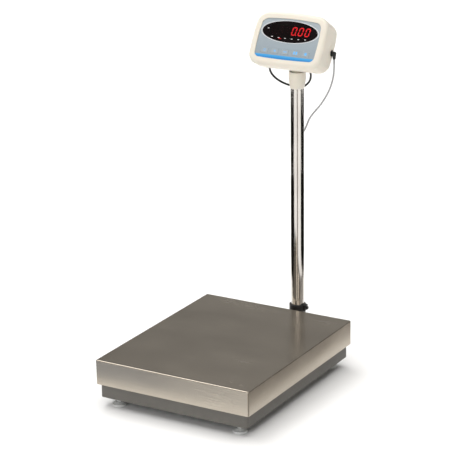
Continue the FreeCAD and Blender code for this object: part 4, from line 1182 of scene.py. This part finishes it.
def key_sign(index, top):
    """A printed sign: ring, triangle, bar, two bars or a square, a hair above the key."""
    under, over = top - PRINT, top + PRINT
    if index == 1:
        return turned("sign", [(2.1, under), (2.1, over), (3.1, over), (3.1, under)], 32, True)
    if index == 2:
        return turned("sign", [(3.6, under), (3.6, over)], 3)
    if index == 3:
        return slab("sign", 4.5, 0.9, under, over)
    if index == 4:
        return join(slab("sign", 2, 3.6, under, over, -3), slab("sign_part", 2, 3.6, under, over, 3))
    return slab("sign", 3, 3, under, over)


# Which of a digit's seven bars are on: top, top left, top right, middle, lower left, lower right, bottom.
NOUGHT = (True, True, True, False, True, True, True)
BLANK = (False,) * 7


def make_digits():
    """Six seven-bar digits behind the window. The last three are on and read nought."""
    low, high, middle = head_box("led_digits")
    modules, bars = [], []
    for index in range(6):
        x = (index - 2.5) * DIGIT_PITCH
        module = block("digit_module", ((x - 8.3) * MM, low.y, low.z), ((x + 8.3) * MM, high.y, high.z - 0.3 * MM))
        modules.append(paint(soften(module, 0.4 * MM, 2), FINISHES["led_red"]))
        lit = NOUGHT if index > 2 else BLANK
        bars += digit_bars(x, middle.y / MM + 1.6, high.z / MM, lit, index == 3)
    digits = join(modules[0], *modules[1:], *bars)
    on_head(digits, "led_red", "led_digits", smooth=30)


def digit_bars(x, y, top, lit, point):
    """The bars and the point of one digit, leaning a little to the right."""
    across, up, thick = 4.7, 9.2, 2.6
    places = [
        (0, up, True), (-across, up / 2, False), (across, up / 2, False), (0, 0, True),
        (-across, -up / 2, False), (across, -up / 2, False), (0, -up, True),
    ]
    bars = []
    for (dx, dy, flat), on in zip(places, lit):
        long = 2 * across if flat else up
        half_x, half_y = (long / 2 - 0.35, thick / 2) if flat else (thick / 2, long / 2 - 0.35)
        bar = slab("bar", half_x, half_y, top - 0.5, top, dx, dy)
        round_uprights(bar, thick / 2 * 0.98 * MM, 1)
        bars.append(paint(bar, LIT if on else UNLIT))
    dot = turned("point", [(1.25, top - 0.5), (1.25, top)], 20)
    bars.append(paint(move(dot, at(7.0 * MM, -up * MM, 0)), LIT if point else UNLIT))
    for bar in bars:
        for vertex in bar.data.vertices:
            vertex.co.x += vertex.co.y * math.tan(math.radians(8))
        move(bar, at((x - 0.6) * MM, y * MM, 0))
    return bars


def make_lamps():
    low, high, middle = head_box("status_lamps")
    base, top = low.z / MM, high.z / MM
    lamp = turned("lamp", [
        (2, base), (2, base + 1), (1.8, base + 1.1), (1.8, top - 1.2), (1.5, top - 0.5), (0.9, top - 0.1),
        (0.2, top),
    ], 24)
    lamps = []
    for index in range(6):
        twin = copy_of(lamp, f"lamp_{index}", at((index - 2.5) * DIGIT_PITCH * MM, middle.y, 0))
        lamps.append(paint(twin, LIT if index == 1 else FINISHES["lamp_clear"]))
    drop(lamp)
    on_head(join(lamps[0], *lamps[1:]), "lamp_clear", "status_lamps")


def make_glands():
    """Hexagon gland nuts with ribbed rubber boots for the looped lead."""
    low, high, middle = head_box("loop_glands")
    top = high.z / MM
    nut = hexagon("gland_nut", 6, top - 5, top)
    ribs = []
    for step in range(5):
        height, radius = top - 5 - 1.4 * step, 4.5 - 0.28 * step
        ribs += [(radius, height), (radius, height - 0.9), (radius - 0.6, height - 1.1)]
    boot = turned("gland_boot", [*ribs, (3.2, top - 12)], 32)
    gland = join(nut, boot)
    glands = [copy_of(gland, f"gland_{x}", at(x, middle.y, 0)) for x in (low.x + 6 * MM, high.x - 6 * MM)]
    drop(gland)
    on_head(join(*glands), "black_plastic", "loop_glands")


def make_plug():
    """The round socket in the side of the head and the angled plug with its ribbed tail."""
    _, high, mid = head_box("cell_jack")
    into_side = at(0, mid.y, mid.z) @ along((1, 0, 0))
    side = high.x / MM - 1.5
    jack = turned("round_jack", [
        (5.6, side - 8), (5.95, side - 7.6), (5.95, side), (7.3, side), (7.5, side + 0.3), (7.5, side + 1.1),
        (7.1, side + 1.5), (5, side + 1.5),
    ], 40)
    on_head(move(jack, into_side), "black_plastic", "cell_jack")
    lead_top = Vector(HEAD_LEAD[0]) * MM + COLUMN
    bend = HEAD.inverted() @ lead_top
    reach = bend.x / MM
    stub = turned("plug_stub", [
        (4.2, side + 1.5), (4.5, side + 1.8), (4.5, side + 2.4), (4.1, side + 2.7), (4.1, side + 3.4),
        (4.5, side + 3.7), (4.5, reach), (1, reach),
    ], 32)
    move(stub, HEAD @ into_side)
    release()
    elbow_at = HEAD @ Vector((bend.x, mid.y, mid.z))
    bpy.ops.mesh.primitive_uv_sphere_add(segments=32, ring_count=20, radius=4.9 * MM, location=elbow_at)
    elbow = named("plug_elbow")
    ribs = []
    for step in range(4):
        height, radius = 5.8 + 1.9 * step, 4.3 - 0.36 * step
        neck = radius - 0.7
        ribs += [(radius, height), (radius, height + 1.2), (neck, height + 1.4), (neck, height + 1.8)]
    tail = turned("plug_tail", [(4.5, 0), (4.5, 4.8), (4.1, 5.4), *ribs, (2.3, 14)], 32)
    sleeve = paint(turned("plug_sleeve", [(2.4, 13), (2.4, 23.5), (2.1, 24)], 32), FINISHES["grey_lead"])
    tail = join(paint(tail, FINISHES["black_plastic"]), sleeve)
    move(tail, Matrix.Translation(elbow_at) @ along((0, 0, -1)))
    stub = paint(weld(stub, elbow), FINISHES["black_plastic"])
    place(join(stub, tail), "head", "black_plastic", "cell_plug")


finish_nodes()
make_stage()
make_leads()
make_platter()
make_load_cell()
make_feet()
make_level()
make_column()
make_collar()
make_neck()
make_case()
make_keys()
make_digits()
make_lamps()
make_glands()
make_plug()

bpy.context.view_layer.update()
